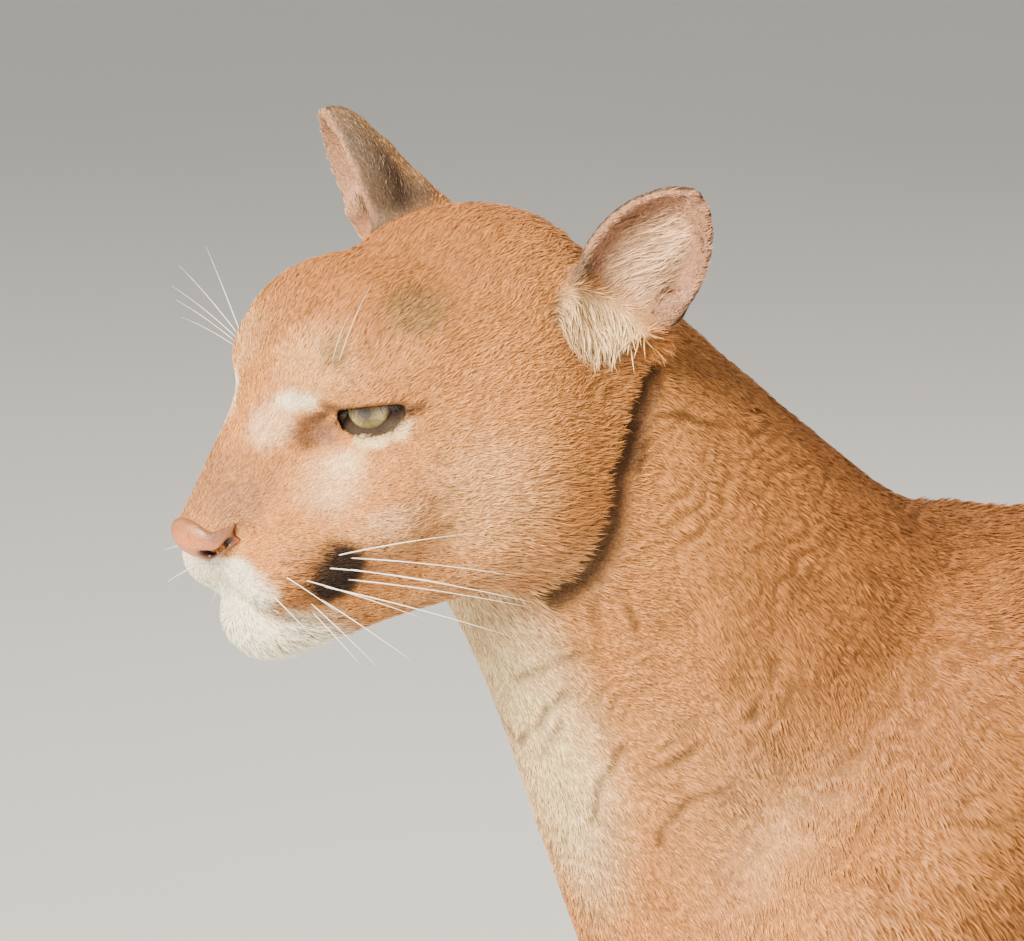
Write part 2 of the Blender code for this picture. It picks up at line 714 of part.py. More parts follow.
def build(node, shape):
    """One node: the shape within its box as a mesh, thinned, then cut."""
    middle = (np.asarray(node.low) + np.asarray(node.high)) / 2
    half = (np.asarray(node.high) - np.asarray(node.low)) / 2 - 1.5 * node.cell

    def boxed(points):
        return np.maximum(shape(points), (np.abs(points - middle) - half).max(1))

    points, quads = surface(boxed, node.low, node.high, node.cell)
    points = settle(boxed, points, node.cell / 2)
    mesh = bpy.data.meshes.new(node.name)
    mesh.from_pydata(points.tolist(), [], quads.tolist())
    obj = thinned(new_object(node.name, mesh), node.triangles)
    return finished(cut_away(obj, node.cuts), node.colour)


def head_nodes():
    """The head, with its ears, eyes and nose leather as nodes of their own."""
    around = np.asarray(HEAD_AT)
    low = tuple(around + (-14, -21, -19))
    high = tuple(around + (14, 14, 18))
    cuts = (BEHIND_HEAD, LEFT_EAR_CUT.back(), RIGHT_EAR_CUT.back())
    head = build(Node("head", low, high, 0.3, 5200, cuts, TAWNY), animal)
    nose_turn = HEAD_TURN @ turning(NOSE_TILT, 0, 0)
    nose_at = from_head_frame(NOSE_CUT_AT)
    nose = new_object("nose", head.data.copy())
    nose = combined(nose, round_object("cutter", nose_at, NOSE_CUT_RADII, nose_turn, 16), "INTERSECT")
    made = [head, finished(nose, LEATHER)]
    grown = np.asarray(NOSE_CUT_RADII) + GAP
    combined(head, round_object("cutter", nose_at, grown, nose_turn, 16), "DIFFERENCE")
    for side, word in ((1, "left"), (-1, "right")):
        at = from_head_frame(np.array((side, 1, 1)) * EYE_AT)
        socket = np.full(3, EYE_RADIUS + GAP)
        combined(head, round_object("cutter", at, socket, HEAD_TURN, 10), "DIFFERENCE")
        eye = round_object(f"{word}_eye", at, np.full(3, EYE_RADIUS), HEAD_TURN, 10)
        made.append(finished(eye, IRIS))
        ear = LEFT_EAR if side == 1 else RIGHT_EAR
        cut = LEFT_EAR_CUT if side == 1 else RIGHT_EAR_CUT
        middle = from_head_frame(np.asarray(ear.base) + unit(ear.axis) * 4.5)
        box = (tuple(middle - 6.5), tuple(middle + 6.5))
        made.append(build(Node(f"{word}_ear", *box, 0.18, 1300, (cut,), TAWNY), ear_tips))
    return made


def centred(objects):
    """Moves the model to stand over the origin, and turns centimetres into metres."""
    points = [np.array([vert.co for vert in obj.data.vertices]) for obj in objects]
    every = np.concatenate(points)
    middle = (every.min(0) + every.max(0)) / 2
    shift = np.array((middle[0], middle[1], 0))
    for obj, own in zip(objects, points):
        obj.data.vertices.foreach_set("co", ((own - shift) * METRE).ravel())
        obj.data.update()


def main():
    for obj in list(bpy.data.objects):
        bpy.data.objects.remove(obj)
    objects = head_nodes()
    for node in body_nodes():
        objects.append(build(node, earless if node.name == "neck" else body_shape))
    for node in tail_nodes():
        objects.append(build(node, body_shape))
    centred(objects)


if __name__ == "__main__":
    main()
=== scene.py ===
"""A life-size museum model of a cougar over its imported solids: skin, coat, eyes, nose, whiskers and claws.

Lengths are in centimetres until a mesh is made. The body frame has x to the animal's left, y to
its back and z up. The head frame is set in the middle of the brain case, y to the back of the head.
"""

import logging
import math
from dataclasses import dataclass, field
from enum import Enum
from typing import Callable

import bpy
import numpy as np
from mathutils import Matrix
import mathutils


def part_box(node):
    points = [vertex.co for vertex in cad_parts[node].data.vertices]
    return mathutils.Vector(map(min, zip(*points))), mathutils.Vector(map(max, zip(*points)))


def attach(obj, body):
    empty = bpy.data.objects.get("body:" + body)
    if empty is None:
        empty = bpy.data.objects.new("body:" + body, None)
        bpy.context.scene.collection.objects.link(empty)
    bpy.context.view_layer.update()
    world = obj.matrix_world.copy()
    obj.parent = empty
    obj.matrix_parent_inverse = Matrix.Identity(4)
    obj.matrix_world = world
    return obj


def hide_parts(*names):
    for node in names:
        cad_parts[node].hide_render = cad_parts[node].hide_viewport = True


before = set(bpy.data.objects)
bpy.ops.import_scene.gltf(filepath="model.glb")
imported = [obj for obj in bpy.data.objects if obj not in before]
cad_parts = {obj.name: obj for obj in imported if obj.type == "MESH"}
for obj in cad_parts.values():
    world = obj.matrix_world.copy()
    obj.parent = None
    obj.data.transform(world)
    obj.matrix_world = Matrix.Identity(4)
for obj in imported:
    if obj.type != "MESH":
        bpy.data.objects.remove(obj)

Array = np.ndarray
Vector = tuple[float, float, float]
Shape = Callable[[Array], Array]
log = logging.getLogger("cougar")

METRE = 0.01

HEAD_AT = (0.0, -66.0, 75.0)
NOSE_DOWN = 17.0
HEAD_LEFT = 9.0
EYE_AT = (3.65, -6.95, 1.35)
EYE_RADIUS = 1.45
GAZE = (0.62, -0.77, 0.12)
LID_THICKNESS = 0.2
LID_CORNER = 0.72
UPPER_LID = 9.0
LOWER_LID = 39.0
NOSE_AT = (0.0, -15.05, -2.2)
NOSE_RADII = (1.75, 1.35, 1.1)
NOSE_TILT = -35.0
EAR_LONG = 4.3
EAR_WIDE = 2.75
EAR_DEEP = 2.1
EAR_WALL = 0.55
FORE_PAW_X = 7.4
HIND_PAW_X = 8.0
FORE_PAW_Y = {1: -43.0, -1: -36.0}
HIND_PAW_Y = {1: 40.0, -1: 31.0}
FORE_PAW_SIZE = 1.14
HIND_PAW_SIZE = 1.04
TOES = ((-2.9, -4.2), (-1.05, -5.7), (1.05, -5.7), (2.9, -4.2))


def unit(vector: Array) -> Array:
    """A vector, or each row of an array of them, at length one."""
    vector = np.asarray(vector, float)
    return vector / (np.linalg.norm(vector, axis=-1, keepdims=True) + 1e-12)


def turning(x: float = 0, y: float = 0, z: float = 0) -> Array:
    """The matrix that turns about x, then y, then z, by degrees."""
    x, y, z = np.radians((x, y, z))
    about_x = np.array(((1, 0, 0), (0, math.cos(x), -math.sin(x)), (0, math.sin(x), math.cos(x))))
    about_y = np.array(((math.cos(y), 0, math.sin(y)), (0, 1, 0), (-math.sin(y), 0, math.cos(y))))
    about_z = np.array(((math.cos(z), -math.sin(z), 0), (math.sin(z), math.cos(z), 0), (0, 0, 1)))
    return about_z @ about_y @ about_x


HEAD_TURN = turning(NOSE_DOWN, 0, HEAD_LEFT)


def in_head_frame(points: Array) -> Array:
    """Body-frame points in the head frame."""
    return (points - np.asarray(HEAD_AT)) @ HEAD_TURN


def from_head_frame(points: Array) -> Array:
    """Head-frame points in the body frame."""
    return np.asarray(points, float) @ HEAD_TURN.T + np.asarray(HEAD_AT)


def mirrored(points: Array) -> Array:
    """Every point moved to the left half, so that one mass or mark serves both sides."""
    return np.column_stack((np.abs(points[:, 0]), points[:, 1], points[:, 2]))


def ramp(value: Array, start: float, end: float) -> Array:
    """Rises smoothly from 0 at start to 1 at end: the cubic 3t^2 - 2t^3 of the share t between them."""
    share = np.clip((value - start) / (end - start), 0, 1)
    return share * share * (3 - 2 * share)


def join(a: Array, b: Array, seam: float) -> Array:
    """The union of two shapes, rounded over the width of the seam."""
    if seam == 0:
        return np.minimum(a, b)
    share = np.clip(0.5 + 0.5 * (b - a) / seam, 0, 1)
    return b + (a - b) * share - seam * share * (1 - share)


def meet(a: Array, b: Array, seam: float) -> Array:
    """What two shapes have in common, with a rounded edge."""
    return -join(-a, -b, seam)


@dataclass(frozen=True)
class Ball:
    """An ellipsoid that joins the shape over a soft seam."""

    at: Vector
    radii: Vector
    seam: float
    turn: Vector = (0, 0, 0)

    def outside(self, points: Array) -> Array:
        """About how far each point lies outside: k(k - 1)/|grad k|, with k the scaled distance."""
        away = (points - np.asarray(self.at)) @ turning(*self.turn)
        scaled = away / np.asarray(self.radii)
        size = np.sqrt((scaled**2).sum(1)) + 1e-9
        slope = np.sqrt(((scaled / np.asarray(self.radii)) ** 2).sum(1)) + 1e-9
        return size * (size - 1) / slope


@dataclass(frozen=True)
class Limb:
    """A round bar that changes its radius from one end to the other."""

    start: Vector
    end: Vector
    first: float
    last: float
    seam: float = 0.0

    def outside(self, points: Array) -> Array:
        """Distance from the bar's line less its radius at the nearest place."""
        start = np.asarray(self.start, float)
        along = np.asarray(self.end, float) - start
        away = points - start
        share = np.clip(away @ along / (along @ along), 0, 1)
        gap = away - share[:, None] * along
        return np.sqrt((gap**2).sum(1)) - self.first - (self.last - self.first) * share


@dataclass(frozen=True)
class Ear:
    """Where one ear grows, which way it stands and which way its cup opens."""

    base: Vector
    axis: Vector
    front: Vector

    def frame(self) -> Array:
        """Rows: across the cup, along the ear, out of the cup."""
        axis = unit(self.axis)
        front = np.asarray(self.front, float)
        front = unit(front - (front @ axis) * axis)
        return np.stack((np.cross(axis, front), axis, front))

    def local(self, points: Array) -> Array:
        """Head-frame points seen from the middle of the cup."""
        return (points - np.asarray(self.base) - unit(self.axis) * 2.9) @ self.frame().T


SKULL = Ball((0, 0.6, 0.6), (6.6, 7.0, 5.7), 0)
HEAD_SINGLE = (
    Ball((0, -5.8, 1.7), (4.6, 4.6, 4.0), 1.6),               # forehead
    Limb((0, -8.6, 1.2), (0, -13.9, -1.8), 2.8, 1.75, 1.2),   # bridge of the nose
    Ball((0, -11.2, -3.6), (3.3, 3.7, 3.2), 1.4),             # muzzle
)
HEAD_PAIRS = (
    Ball((1.9, -5.2, 3.3), (2.5, 4.1, 3.05), 1.4),                 # dome beside the forehead's groove
    Ball((3.0, -7.2, 2.8), (1.9, 1.7, 1.2), 1.2, (0, 20, 30)),     # brow
    Ball((4.3, -3.6, 0.7), (2.2, 3.7, 3.6), 1.6),                  # temple
    Ball((4.4, -1.1, -3.8), (3.9, 5.7, 5.5), 2.0),                 # cheek
    Ball((3.4, -6.0, -2.6), (3.1, 5.0, 3.6), 1.6, (0, 0, 20)),     # cheekbone
    Ball((2.4, -9.6, -3.4), (2.5, 4.0, 3.0), 1.5, (0, 0, 15)),     # side of the muzzle
    Ball((1.85, -12.6, -4.4), (2.15, 2.5, 2.0), 0.8, (0, 0, 15)),  # whisker pad
    Limb((4.2, -1.0, -6.4), (1.3, -11.2, -7.0), 3.3, 2.0, 1.6),    # lower jaw
)
CHIN = Ball((0, -12.7, -7.2), (2.5, 2.4, 2.0), 0.8)
MOUTH = (
    (0, -15.2, -4.95), (0.75, -14.95, -5.55), (1.5, -14.5, -6.05), (2.3, -13.8, -6.6), (2.85, -12.9, -7.05),
    (3.2, -12.0, -7.5), (3.5, -11.2, -7.75),
)
MOUTH_RADIUS = 0.16
MOUTH_SEAM = 0.22
NOSTRIL = (
    Limb((0.95, -16.0, -2.75), (0.9, -14.8, -2.3), 0.28, 0.25, 0.2),   # the hole in front
    Limb((1.1, -15.6, -2.55), (1.95, -14.7, -2.25), 0.2, 0.15, 0.15),  # the slit beside it
    Limb((2.1, -14.5, -2.0), (1.6, -14.0, -2.1), 0.3, 0.25, 0.15),     # the slit's outer end
)
PHILTRUM = Limb((0, -16.3, -2.9), (0, -15.3, -4.6), 0.10, 0.16, 0.2)
CREASE = (
    (6.9, 6.0, -2.6), (7.4, 4.3, -3.7), (7.9, 2.1, -5.8),
    (7.75, 1.1, -7.9), (6.9, -0.1, -9.8), (5.4, -1.6, -10.8),
)
CREASE_RADIUS = 0.45
CREASE_SEAM = 0.6
EAR_FOLD = Limb((1.9, -0.8, 0.0), (2.6, -2.9, -1.0), 0.7, 0.55, 0.5)    # at the ear's outer edge
EAR_BACK = Limb((0, -2.1, -1.9), (0, 1.1, -1.4), 1.9, 0.8, 0.8)         # behind the ear's root
LEFT_EAR = Ear((6.5, 4.3, 0.9), (0.40, 0.62, 0.68), (0.74, -0.66, 0.17))
RIGHT_EAR = Ear((-5.9, 1.6, 3.0), (-0.31, 0.05, 0.94), (-0.35, -0.93, 0.0))

CHEST = Ball((0, -30, 49.7), (12.2, 22, 13.9), 0, (-3, 0, 0))
BODY = (
    Ball((0, 2, 52.5), (11.4, 28, 12.4), 6.0),
    Ball((0, 29, 55.0), (11.2, 17, 12.4), 5.0, (-6, 0, 0)),
    Limb((0, -28, 56.5), (0, 32, 60.0), 6.8, 6.8, 4.0),
)
NECK = (
    Limb((0, -61.5, 70.0), (0, -42, 52.0), 7.0, 9.8, 4.0),
    Limb((0, -60.0, 73.5), (0, -42, 56.0), 5.0, 5.2, 3.0),    # crest
    Limb((0, -46.5, 61.3), (0, -38, 59.8), 4.4, 4.2, 1.5),    # withers
    Limb((0, -61.5, 65.5), (0, -49.5, 45.0), 4.5, 8.5, 3.0),  # throat and breast
)
TAIL = (
    (0, 40, 58.0, 5.2), (0, 48, 56.5, 4.1), (0, 55, 49.5, 3.6), (0, 60, 38, 3.3),
    (0, 64.5, 26, 3.1), (0, 71.5, 16, 3.0), (0, 81, 11.5, 2.9), (0, 90, 14.0, 2.6),
)


def tail_line(steps: int = 4) -> Array:
    """Points on a smooth line through the tail's few given ones, each with its radius (Catmull-Rom)."""
    given = np.array(TAIL, float)
    padded = np.vstack((2 * given[0] - given[1], given, 2 * given[-1] - given[-2]))
    t = (np.arange(steps) / steps)[None, :, None]
    a, b, c, d = (padded[i:len(padded) - 3 + i][:, None, :] for i in range(4))
    curve = 2 * b + (c - a) * t + (2 * a - 5 * b + 4 * c - d) * t**2
    line = 0.5 * (curve + (3 * b - a - 3 * c + d) * t**3)
    return np.vstack((line.reshape(-1, 4), given[-1]))


class Animal:
    """The cougar's whole outer shape as a number for each point: below zero inside, zero on the surface."""

    def lid_opening(self, points: Array) -> Array:
        """The slit between the lids: a wedge in front of the eye, limited by a ball about it.

        Args:
            points: head-frame points of the left half.
        Returns:
            About how far each point lies outside the slit.
        """
        gaze = unit(GAZE)
        across = np.array((0.62, 0.76, -0.06))
        across = unit(across - (across @ gaze) * gaze)
        upward = np.cross(gaze, across)
        upward = upward if upward[2] > 0 else -upward
        away = points - np.asarray(EYE_AT)
        height = away @ upward
        ahead = away @ gaze - LID_CORNER
        sides = []
        for sign, angle in ((1, math.radians(UPPER_LID)), (-1, math.radians(LOWER_LID))):
            run = EYE_RADIUS * math.cos(angle) - LID_CORNER
            rise = EYE_RADIUS * math.sin(angle)
            sides.append((sign * height * run - ahead * rise) / math.hypot(run, rise))
        near = np.sqrt((away**2).sum(1)) - EYE_RADIUS - 0.55
        return meet(meet(meet(sides[0], sides[1], 0.08), -ahead, 0.1), near, 0.2)

    def groove(self, points: Array, line: tuple, radius: float) -> Array:
        """How far each point lies outside a thin bar along a line of points."""
        lengths = [Limb(a, b, radius, radius).outside(points) for a, b in zip(line[:-1], line[1:])]
        return np.min(lengths, axis=0)

    def ear(self, points: Array, ear: Ear) -> Array:
        """A cup: one ellipsoid less another that is set forward in it, cut off in front."""
        local = ear.local(points)
        height = np.clip(local[:, 1] / EAR_LONG, 0, 1)
        local[:, 0] *= 1 + 0.22 * height**2
        whole = Ball((0, 0, 0), (EAR_WIDE, EAR_LONG, EAR_DEEP), 0).outside(local)
        whole = join(whole, EAR_BACK.outside(local), EAR_BACK.seam)
        radii = (EAR_WIDE - EAR_WALL * 0.8, EAR_LONG - EAR_WALL, EAR_DEEP + 0.45 - EAR_WALL)
        hollow = Ball((0, 0.15, 0.95), radii, 0).outside(local)
        cup = meet(meet(whole, -hollow, 0.25), local[:, 2] - 0.55, 0.3)
        local[:, 0] *= np.sign(ear.base[0])
        return join(cup, EAR_FOLD.outside(local), EAR_FOLD.seam)

    def head(self, points: Array) -> Array:
        """The head in its own frame, with lids, nostrils, mouth line and ears."""
        left = mirrored(points)
        shape = SKULL.outside(points)
        for mass in HEAD_SINGLE:
            shape = join(shape, mass.outside(points), mass.seam)
        for mass in HEAD_PAIRS:
            shape = join(shape, mass.outside(left), mass.seam)
        shape = join(shape, CHIN.outside(points), CHIN.seam)
        nose = Ball(NOSE_AT, NOSE_RADII, 0.4, (NOSE_TILT, 0, 0))
        shape = join(shape, nose.outside(points), nose.seam)
        lid = EYE_RADIUS + LID_THICKNESS
        shape = join(shape, Ball(EYE_AT, (lid, lid, lid), 0).outside(left), 0.7)
        shape = meet(shape, -self.lid_opening(left), 0.15)
        shape = meet(shape, -self.groove(left, MOUTH, MOUTH_RADIUS), MOUTH_SEAM)
        for cut in NOSTRIL:
            shape = meet(shape, -cut.outside(left), cut.seam)
        shape = meet(shape, -PHILTRUM.outside(points), PHILTRUM.seam)
        for ear in (LEFT_EAR, RIGHT_EAR):
            shape = join(shape, self.ear(points, ear), 0.9)
        return shape

    def paw(self, points: Array, x: float, y: float, size: float) -> Array:
        """A foot: one pad of fur and four toes."""
        at = (x, y - 1.5 * size, 2.7 * size)
        shape = Ball(at, (3.9 * size, 4.6 * size, 2.9 * size), 0).outside(points)
        for toe_x, toe_y in TOES:
            at = (x + toe_x * size, y + toe_y * size, 1.95 * size)
            toe = Ball(at, (1.28 * size, 2.3 * size, 1.9 * size), 0.35, (0, 0, -3 * toe_x))
            shape = join(shape, toe.outside(points), toe.seam)
        return shape

    def foreleg(self, points: Array, side: int) -> Array:
        """Shoulder blade, upper arm, forearm and paw."""
        y = FORE_PAW_Y[side]
        swing = 0.35 * (y + 40)
        shoulder = (side * 8.3, -48 + swing * 0.5, 46.5)
        elbow = (side * 9.0, -35.5 + swing, 36.0)
        cannon = (side * 7.9, y + 3.6, 20.5)
        wrist = (side * 7.6, y + 2.6, 12.5)
        foot = (side * FORE_PAW_X, y + 0.5, 4.0)
        shape = Limb((side * 6.8, -37 + swing * 0.5, 58.5), shoulder, 4.2, 6.0).outside(points)
        parts = (
            Ball((side * 7.6, -41 + swing * 0.6, 49.5), (4.8, 8.8, 12.0), 3.5, (-18, 0, 0)),
            Limb(shoulder, elbow, 6.0, 5.6, 3.0),
            Limb(elbow, cannon, 5.2, 3.9, 2.0),
            Limb(cannon, wrist, 3.9, 3.5, 1.5),
            Limb(wrist, foot, 3.5, 3.4, 1.5),
        )
        for part in parts:
            shape = join(shape, part.outside(points), part.seam)
        return join(shape, self.paw(points, side * FORE_PAW_X, y - 1.0, FORE_PAW_SIZE), 1.2)

    def hind_leg(self, points: Array, side: int) -> Array:
        """Hip, thigh, shin, hock, foot and paw."""
        y = HIND_PAW_Y[side]
        swing = 0.4 * (y - 36)
        knee = (side * 9.8, 19.5 + swing, 40.5)
        hock = (side * 8.2, y + 9.0, 21.5)
        calf = (side * 9.2, 0.5 * (knee[1] + hock[1]) + 1.5, 31.5)
        foot = (side * HIND_PAW_X, y + 2.5, 4.5)
        shape = Limb((side * 7.0, 33.0, 54.5), knee, 9.2, 6.8).outside(points)
        parts = (
            Ball((side * 7.8, 30.5 + swing * 0.4, 47.5), (6.6, 12.5, 13.5), 4.0, (22, 0, 0)),
            Limb(knee, calf, 6.3, 5.4, 3.5),
            Limb(calf, hock, 5.2, 3.2, 2.5),
            Limb(hock, foot, 3.0, 3.1, 1.5),
        )
        for part in parts:
            shape = join(shape, part.outside(points), part.seam)
        return join(shape, self.paw(points, side * HIND_PAW_X, y - 0.5, HIND_PAW_SIZE), 1.2)

    def tail(self, points: Array) -> Array:
        """The tail's short round lengths, one after another."""
        line = tail_line()
        shape = np.full(len(points), 1e3)
        for a, b in zip(line[:-1], line[1:]):
            shape = join(shape, Limb(tuple(a[:3]), tuple(b[:3]), a[3], b[3]).outside(points), 0.5)
        return shape

    def joined_near(
        self, shape: Array, points: Array, low: Vector, high: Vector, seam: float, part: Shape
    ) -> Array:
        """Joins a part, worked out only for points that its box is near enough to matter for."""
        beyond = np.maximum(np.asarray(low) - points, points - np.asarray(high)).max(1)
        close = beyond < np.maximum(shape, 0) + seam
        if close.any():
            shape[close] = join(shape[close], part(points[close]), seam)
        return shape

    def whole(self, points: Array) -> Array:
        """Body, neck, legs, tail and head in the body frame."""
        shape = CHEST.outside(points)
        for mass in BODY + NECK:
            shape = join(shape, mass.outside(points), mass.seam)
        for side in (1, -1):
            low_x, high_x = sorted((side * 1.0, side * 17.0))
            hind = HIND_PAW_Y[side]
            shape = self.joined_near(shape, points, (low_x, -59, -1), (high_x, -24, 66), 2.8,
                                     lambda some, side=side: self.foreleg(some, side))
            shape = self.joined_near(shape, points, (low_x, 8, -1), (high_x, hind + 17, 68), 2.8,
                                     lambda some, side=side: self.hind_leg(some, side))
        shape = self.joined_near(shape, points, (-6, 34, 7), (6, 94, 65), 2.5, self.tail)
        low, high = np.asarray(HEAD_AT) - (13, 20, 17), np.asarray(HEAD_AT) + (13, 13, 17)
        shape = self.joined_near(shape, points, tuple(low), tuple(high), 1.3,
                                 lambda some: self.head(in_head_frame(some)))
        close = (points > low).all(1) & (points < high).all(1)
        mirror = mirrored(in_head_frame(points[close]))
        shape[close] = meet(shape[close], -self.groove(mirror, CREASE, CREASE_RADIUS), CREASE_SEAM)
        return shape


class Mesher:
    """Turns a shape into a mesh: one point in each grid cell that the surface crosses, joined by quads."""

    CORNERS = tuple(np.ndindex(2, 2, 2))

    def grid_values(self, shape: Shape, low: Array, counts: Array, cell: float, block: int = 4) -> Array:
        """The shape at every grid point, worked out in full only near its surface."""
        coarse_counts = (counts - 1) // block + 1
        axes = [low[i] + cell * block * np.arange(coarse_counts[i]) for i in range(3)]
        coarse_points = np.stack(np.meshgrid(*axes, indexing="ij"), -1).reshape(-1, 3)
        coarse = shape(coarse_points).reshape(coarse_counts)
        steps = [(np.arange(counts[i]) + block // 2) // block for i in range(3)]
        nearest = [np.minimum(steps[i], coarse_counts[i] - 1) for i in range(3)]
        values = coarse[np.ix_(*nearest)]
        close = np.argwhere(np.abs(values) < cell * block * 1.75)
        values[tuple(close.T)] = shape(low + cell * close)
        return values

    def clean_codes(self) -> Array:
        """For each way that a cell's eight corners lie in or out, whether one sheet of surface crosses it."""
        corners = list(self.CORNERS)

        def linked(members: list) -> bool:
            """Whether the members form one group along the cell's edges."""
            reached = members[:1]
            for corner in reached:
                for other in members:
                    if other not in reached and sum(abs(a - b) for a, b in zip(corner, other)) == 1:
                        reached.append(other)
            return len(reached) == len(members)

        clean = np.zeros(256, bool)
        for code in range(256):
            within = [corner for bit, corner in enumerate(corners) if code >> bit & 1]
            clean[code] = linked(within) and linked([corner for corner in corners if corner not in within])
        return clean

    def without_pinches(self, values: Array, cell: float) -> Array:
        """Fills each cell where two sheets of the surface would touch."""
        clean = self.clean_codes()
        for _ in range(8):
            inside = values < 0
            code = np.zeros(np.array(values.shape) - 1, int)
            for bit, (i, j, k) in enumerate(self.CORNERS):
                part = inside[i:values.shape[0] - 1 + i, j:values.shape[1] - 1 + j, k:values.shape[2] - 1 + k]
                code |= part.astype(int) << bit
            bad = np.argwhere(~clean[code])
            if not len(bad):
                break
            for corner in self.CORNERS:
                at = tuple((bad + corner).T)
                values[at] = np.minimum(values[at], -0.05 * cell)
        return values

    def crossing_points(self, values: Array, cells: Array) -> Array:
        """For each cell, the middle of the places where its twelve edges cross the surface."""
        corners = np.array(self.CORNERS)
        levels = np.stack([values[tuple((cells + corner).T)] for corner in corners], 1)
        total = np.zeros((len(cells), 3))
        found = np.zeros((len(cells), 1))
        for i, first in enumerate(corners):
            for j, second in enumerate(corners):
                if j <= i or np.abs(first - second).sum() != 1:
                    continue
                a, b = levels[:, i], levels[:, j]
                crossed = (a < 0) != (b < 0)
                share = np.where(crossed, a / np.where(crossed, a - b, 1), 0)[:, None]
                total += crossed[:, None] * (first + share * (second - first))
                found += crossed[:, None]
        return cells + total / found

    def surface(self, shape: Shape, low: Vector, counts: Vector, cell: float) -> tuple[Array, Array]:
        """Quads round the shape. Where the shape leaves the grid, the mesh is left open.

        Args:
            shape: the shape to follow.
            low: the grid's lowest corner.
            counts: grid points along each axis, each one more than a multiple of four.
            cell: the grid's spacing.
        Returns:
            Points, and quads as rows of four point numbers.
        """
        low, counts = np.asarray(low, float), np.asarray(counts, int)
        values = self.without_pinches(self.grid_values(shape, low, counts, cell), cell)
        inside = values < 0
        filled = np.zeros(counts - 1, int)
        for i, j, k in self.CORNERS:
            filled += inside[i:counts[0] - 1 + i, j:counts[1] - 1 + j, k:counts[2] - 1 + k]
        cells = np.argwhere((filled > 0) & (filled < 8))
        number = np.full(filled.shape, -1)
        number[tuple(cells.T)] = np.arange(len(cells))
        points = low + cell * self.crossing_points(values, cells)
        quads = []
        for axis in range(3):
            here = np.take(inside, np.arange(counts[axis] - 1), axis)
            there = np.take(inside, np.arange(1, counts[axis]), axis)
            edges = np.argwhere(here != there)
            others = [k for k in range(3) if k != axis]
            edges = edges[((edges[:, others] > 0) & (edges[:, others] < counts[others] - 1)).all(1)]
            first, second = np.eye(3, dtype=int)[others]
            ring = (edges - first - second, edges - second, edges, edges - first)
            quad = np.stack([number[tuple(corner.T)] for corner in ring], 1)
            leaving = here[tuple(edges.T)] != (axis == 1)
            quad[~leaving] = quad[~leaving][:, ::-1]
            quads.append(quad)
        return points, np.concatenate(quads)

    def settle(self, shape: Shape, points: Array, furthest: float, steps: int = 2) -> Array:
        """Points moved straight on to the surface by Newton steps along the shape's slope."""
        nudge = 0.02 * np.eye(3)
        for _ in range(steps):
            level = shape(points)
            slope = np.stack([(shape(points + d) - level) / 0.02 for d in nudge], 1)
            move = -(level / ((slope**2).sum(1) + 1e-6))[:, None] * slope
            length = np.sqrt((move**2).sum(1)) + 1e-12
            points = points + move * np.minimum(1, furthest / length)[:, None]
        return points

    def refine(self, points: Array, faces: Array, marked: Array) -> tuple[Array, Array, int]:
        """Splits each marked triangle in four, and its neighbours in two or three, leaving no open edge.

        Args:
            points: the mesh's points.
            faces: its triangles.
            marked: for each triangle, whether it is split.
        Returns:
            Points, triangles, and the number of the first new point.
        """
        edges = np.sort(np.stack([faces[:, [0, 1]], faces[:, [1, 2]], faces[:, [2, 0]]], 1).reshape(-1, 2), 1)
        key = edges[:, 0].astype(np.int64) * (len(points) + 1) + edges[:, 1]
        unique, inverse = np.unique(key, return_inverse=True)
        inverse = inverse.reshape(-1, 3)
        split = np.zeros(len(unique), bool)
        split[inverse[marked].ravel()] = True
        middle = np.full(len(unique), -1, np.int64)
        middle[split] = len(points) + np.arange(split.sum())
        first = np.zeros(len(unique), np.int64)
        first[inverse.ravel()] = np.arange(inverse.size)
        ends = edges[first[split]]
        mids = middle[inverse]
        count = (mids >= 0).sum(1)
        f, m = faces[count == 3], mids[count == 3]
        out = [faces[count == 0], m]
        for corner in range(3):
            out.append(np.stack([f[:, corner], m[:, corner], m[:, corner - 1]], 1))
            rolled, mid = np.roll(faces, -corner, 1), np.roll(mids, -corner, 1)
            one = (count == 1) & (mid[:, 0] >= 0)
            t, q = rolled[one], mid[one]
            out += [np.stack([t[:, 0], q[:, 0], t[:, 2]], 1), np.stack([q[:, 0], t[:, 1], t[:, 2]], 1)]
            two = (count == 2) & (mid[:, 0] >= 0) & (mid[:, 1] >= 0)
            t, q = rolled[two], mid[two]
            out += [np.stack([q[:, 0], t[:, 1], q[:, 1]], 1), np.stack([t[:, 0], q[:, 0], q[:, 1]], 1),
                    np.stack([t[:, 0], q[:, 1], t[:, 2]], 1)]
        new = (points[ends[:, 0]] + points[ends[:, 1]]) / 2
        return np.concatenate([points, new]), np.concatenate(out), len(points)


def new_object(name: str, points: Array, faces: Array, smooth: bool = True) -> bpy.types.Object:
    """A mesh object from numpy arrays.

    Args:
        name: the piece's name.
        points: body-frame points in centimetres.
        faces: rows of three or of four point numbers.
        smooth: whether the faces are shaded smooth.
    Returns:
        The object, at the origin.
    """
    mesh = bpy.data.meshes.new(name)
    faces = np.asarray(faces, np.int32)
    mesh.vertices.add(len(points))
    mesh.vertices.foreach_set("co", ((points - SHIFT) * METRE).astype(np.float32).ravel())
    mesh.loops.add(faces.size)
    mesh.loops.foreach_set("vertex_index", faces.ravel())
    mesh.polygons.add(len(faces))
    mesh.polygons.foreach_set("loop_start", np.arange(len(faces), dtype=np.int32) * faces.shape[1])
    mesh.polygons.foreach_set("use_smooth", np.full(len(faces), smooth))
    mesh.update(calc_edges=True)
    mesh.validate()
    obj = bpy.data.objects.new(name, mesh)
    bpy.context.collection.objects.link(obj)
    return obj


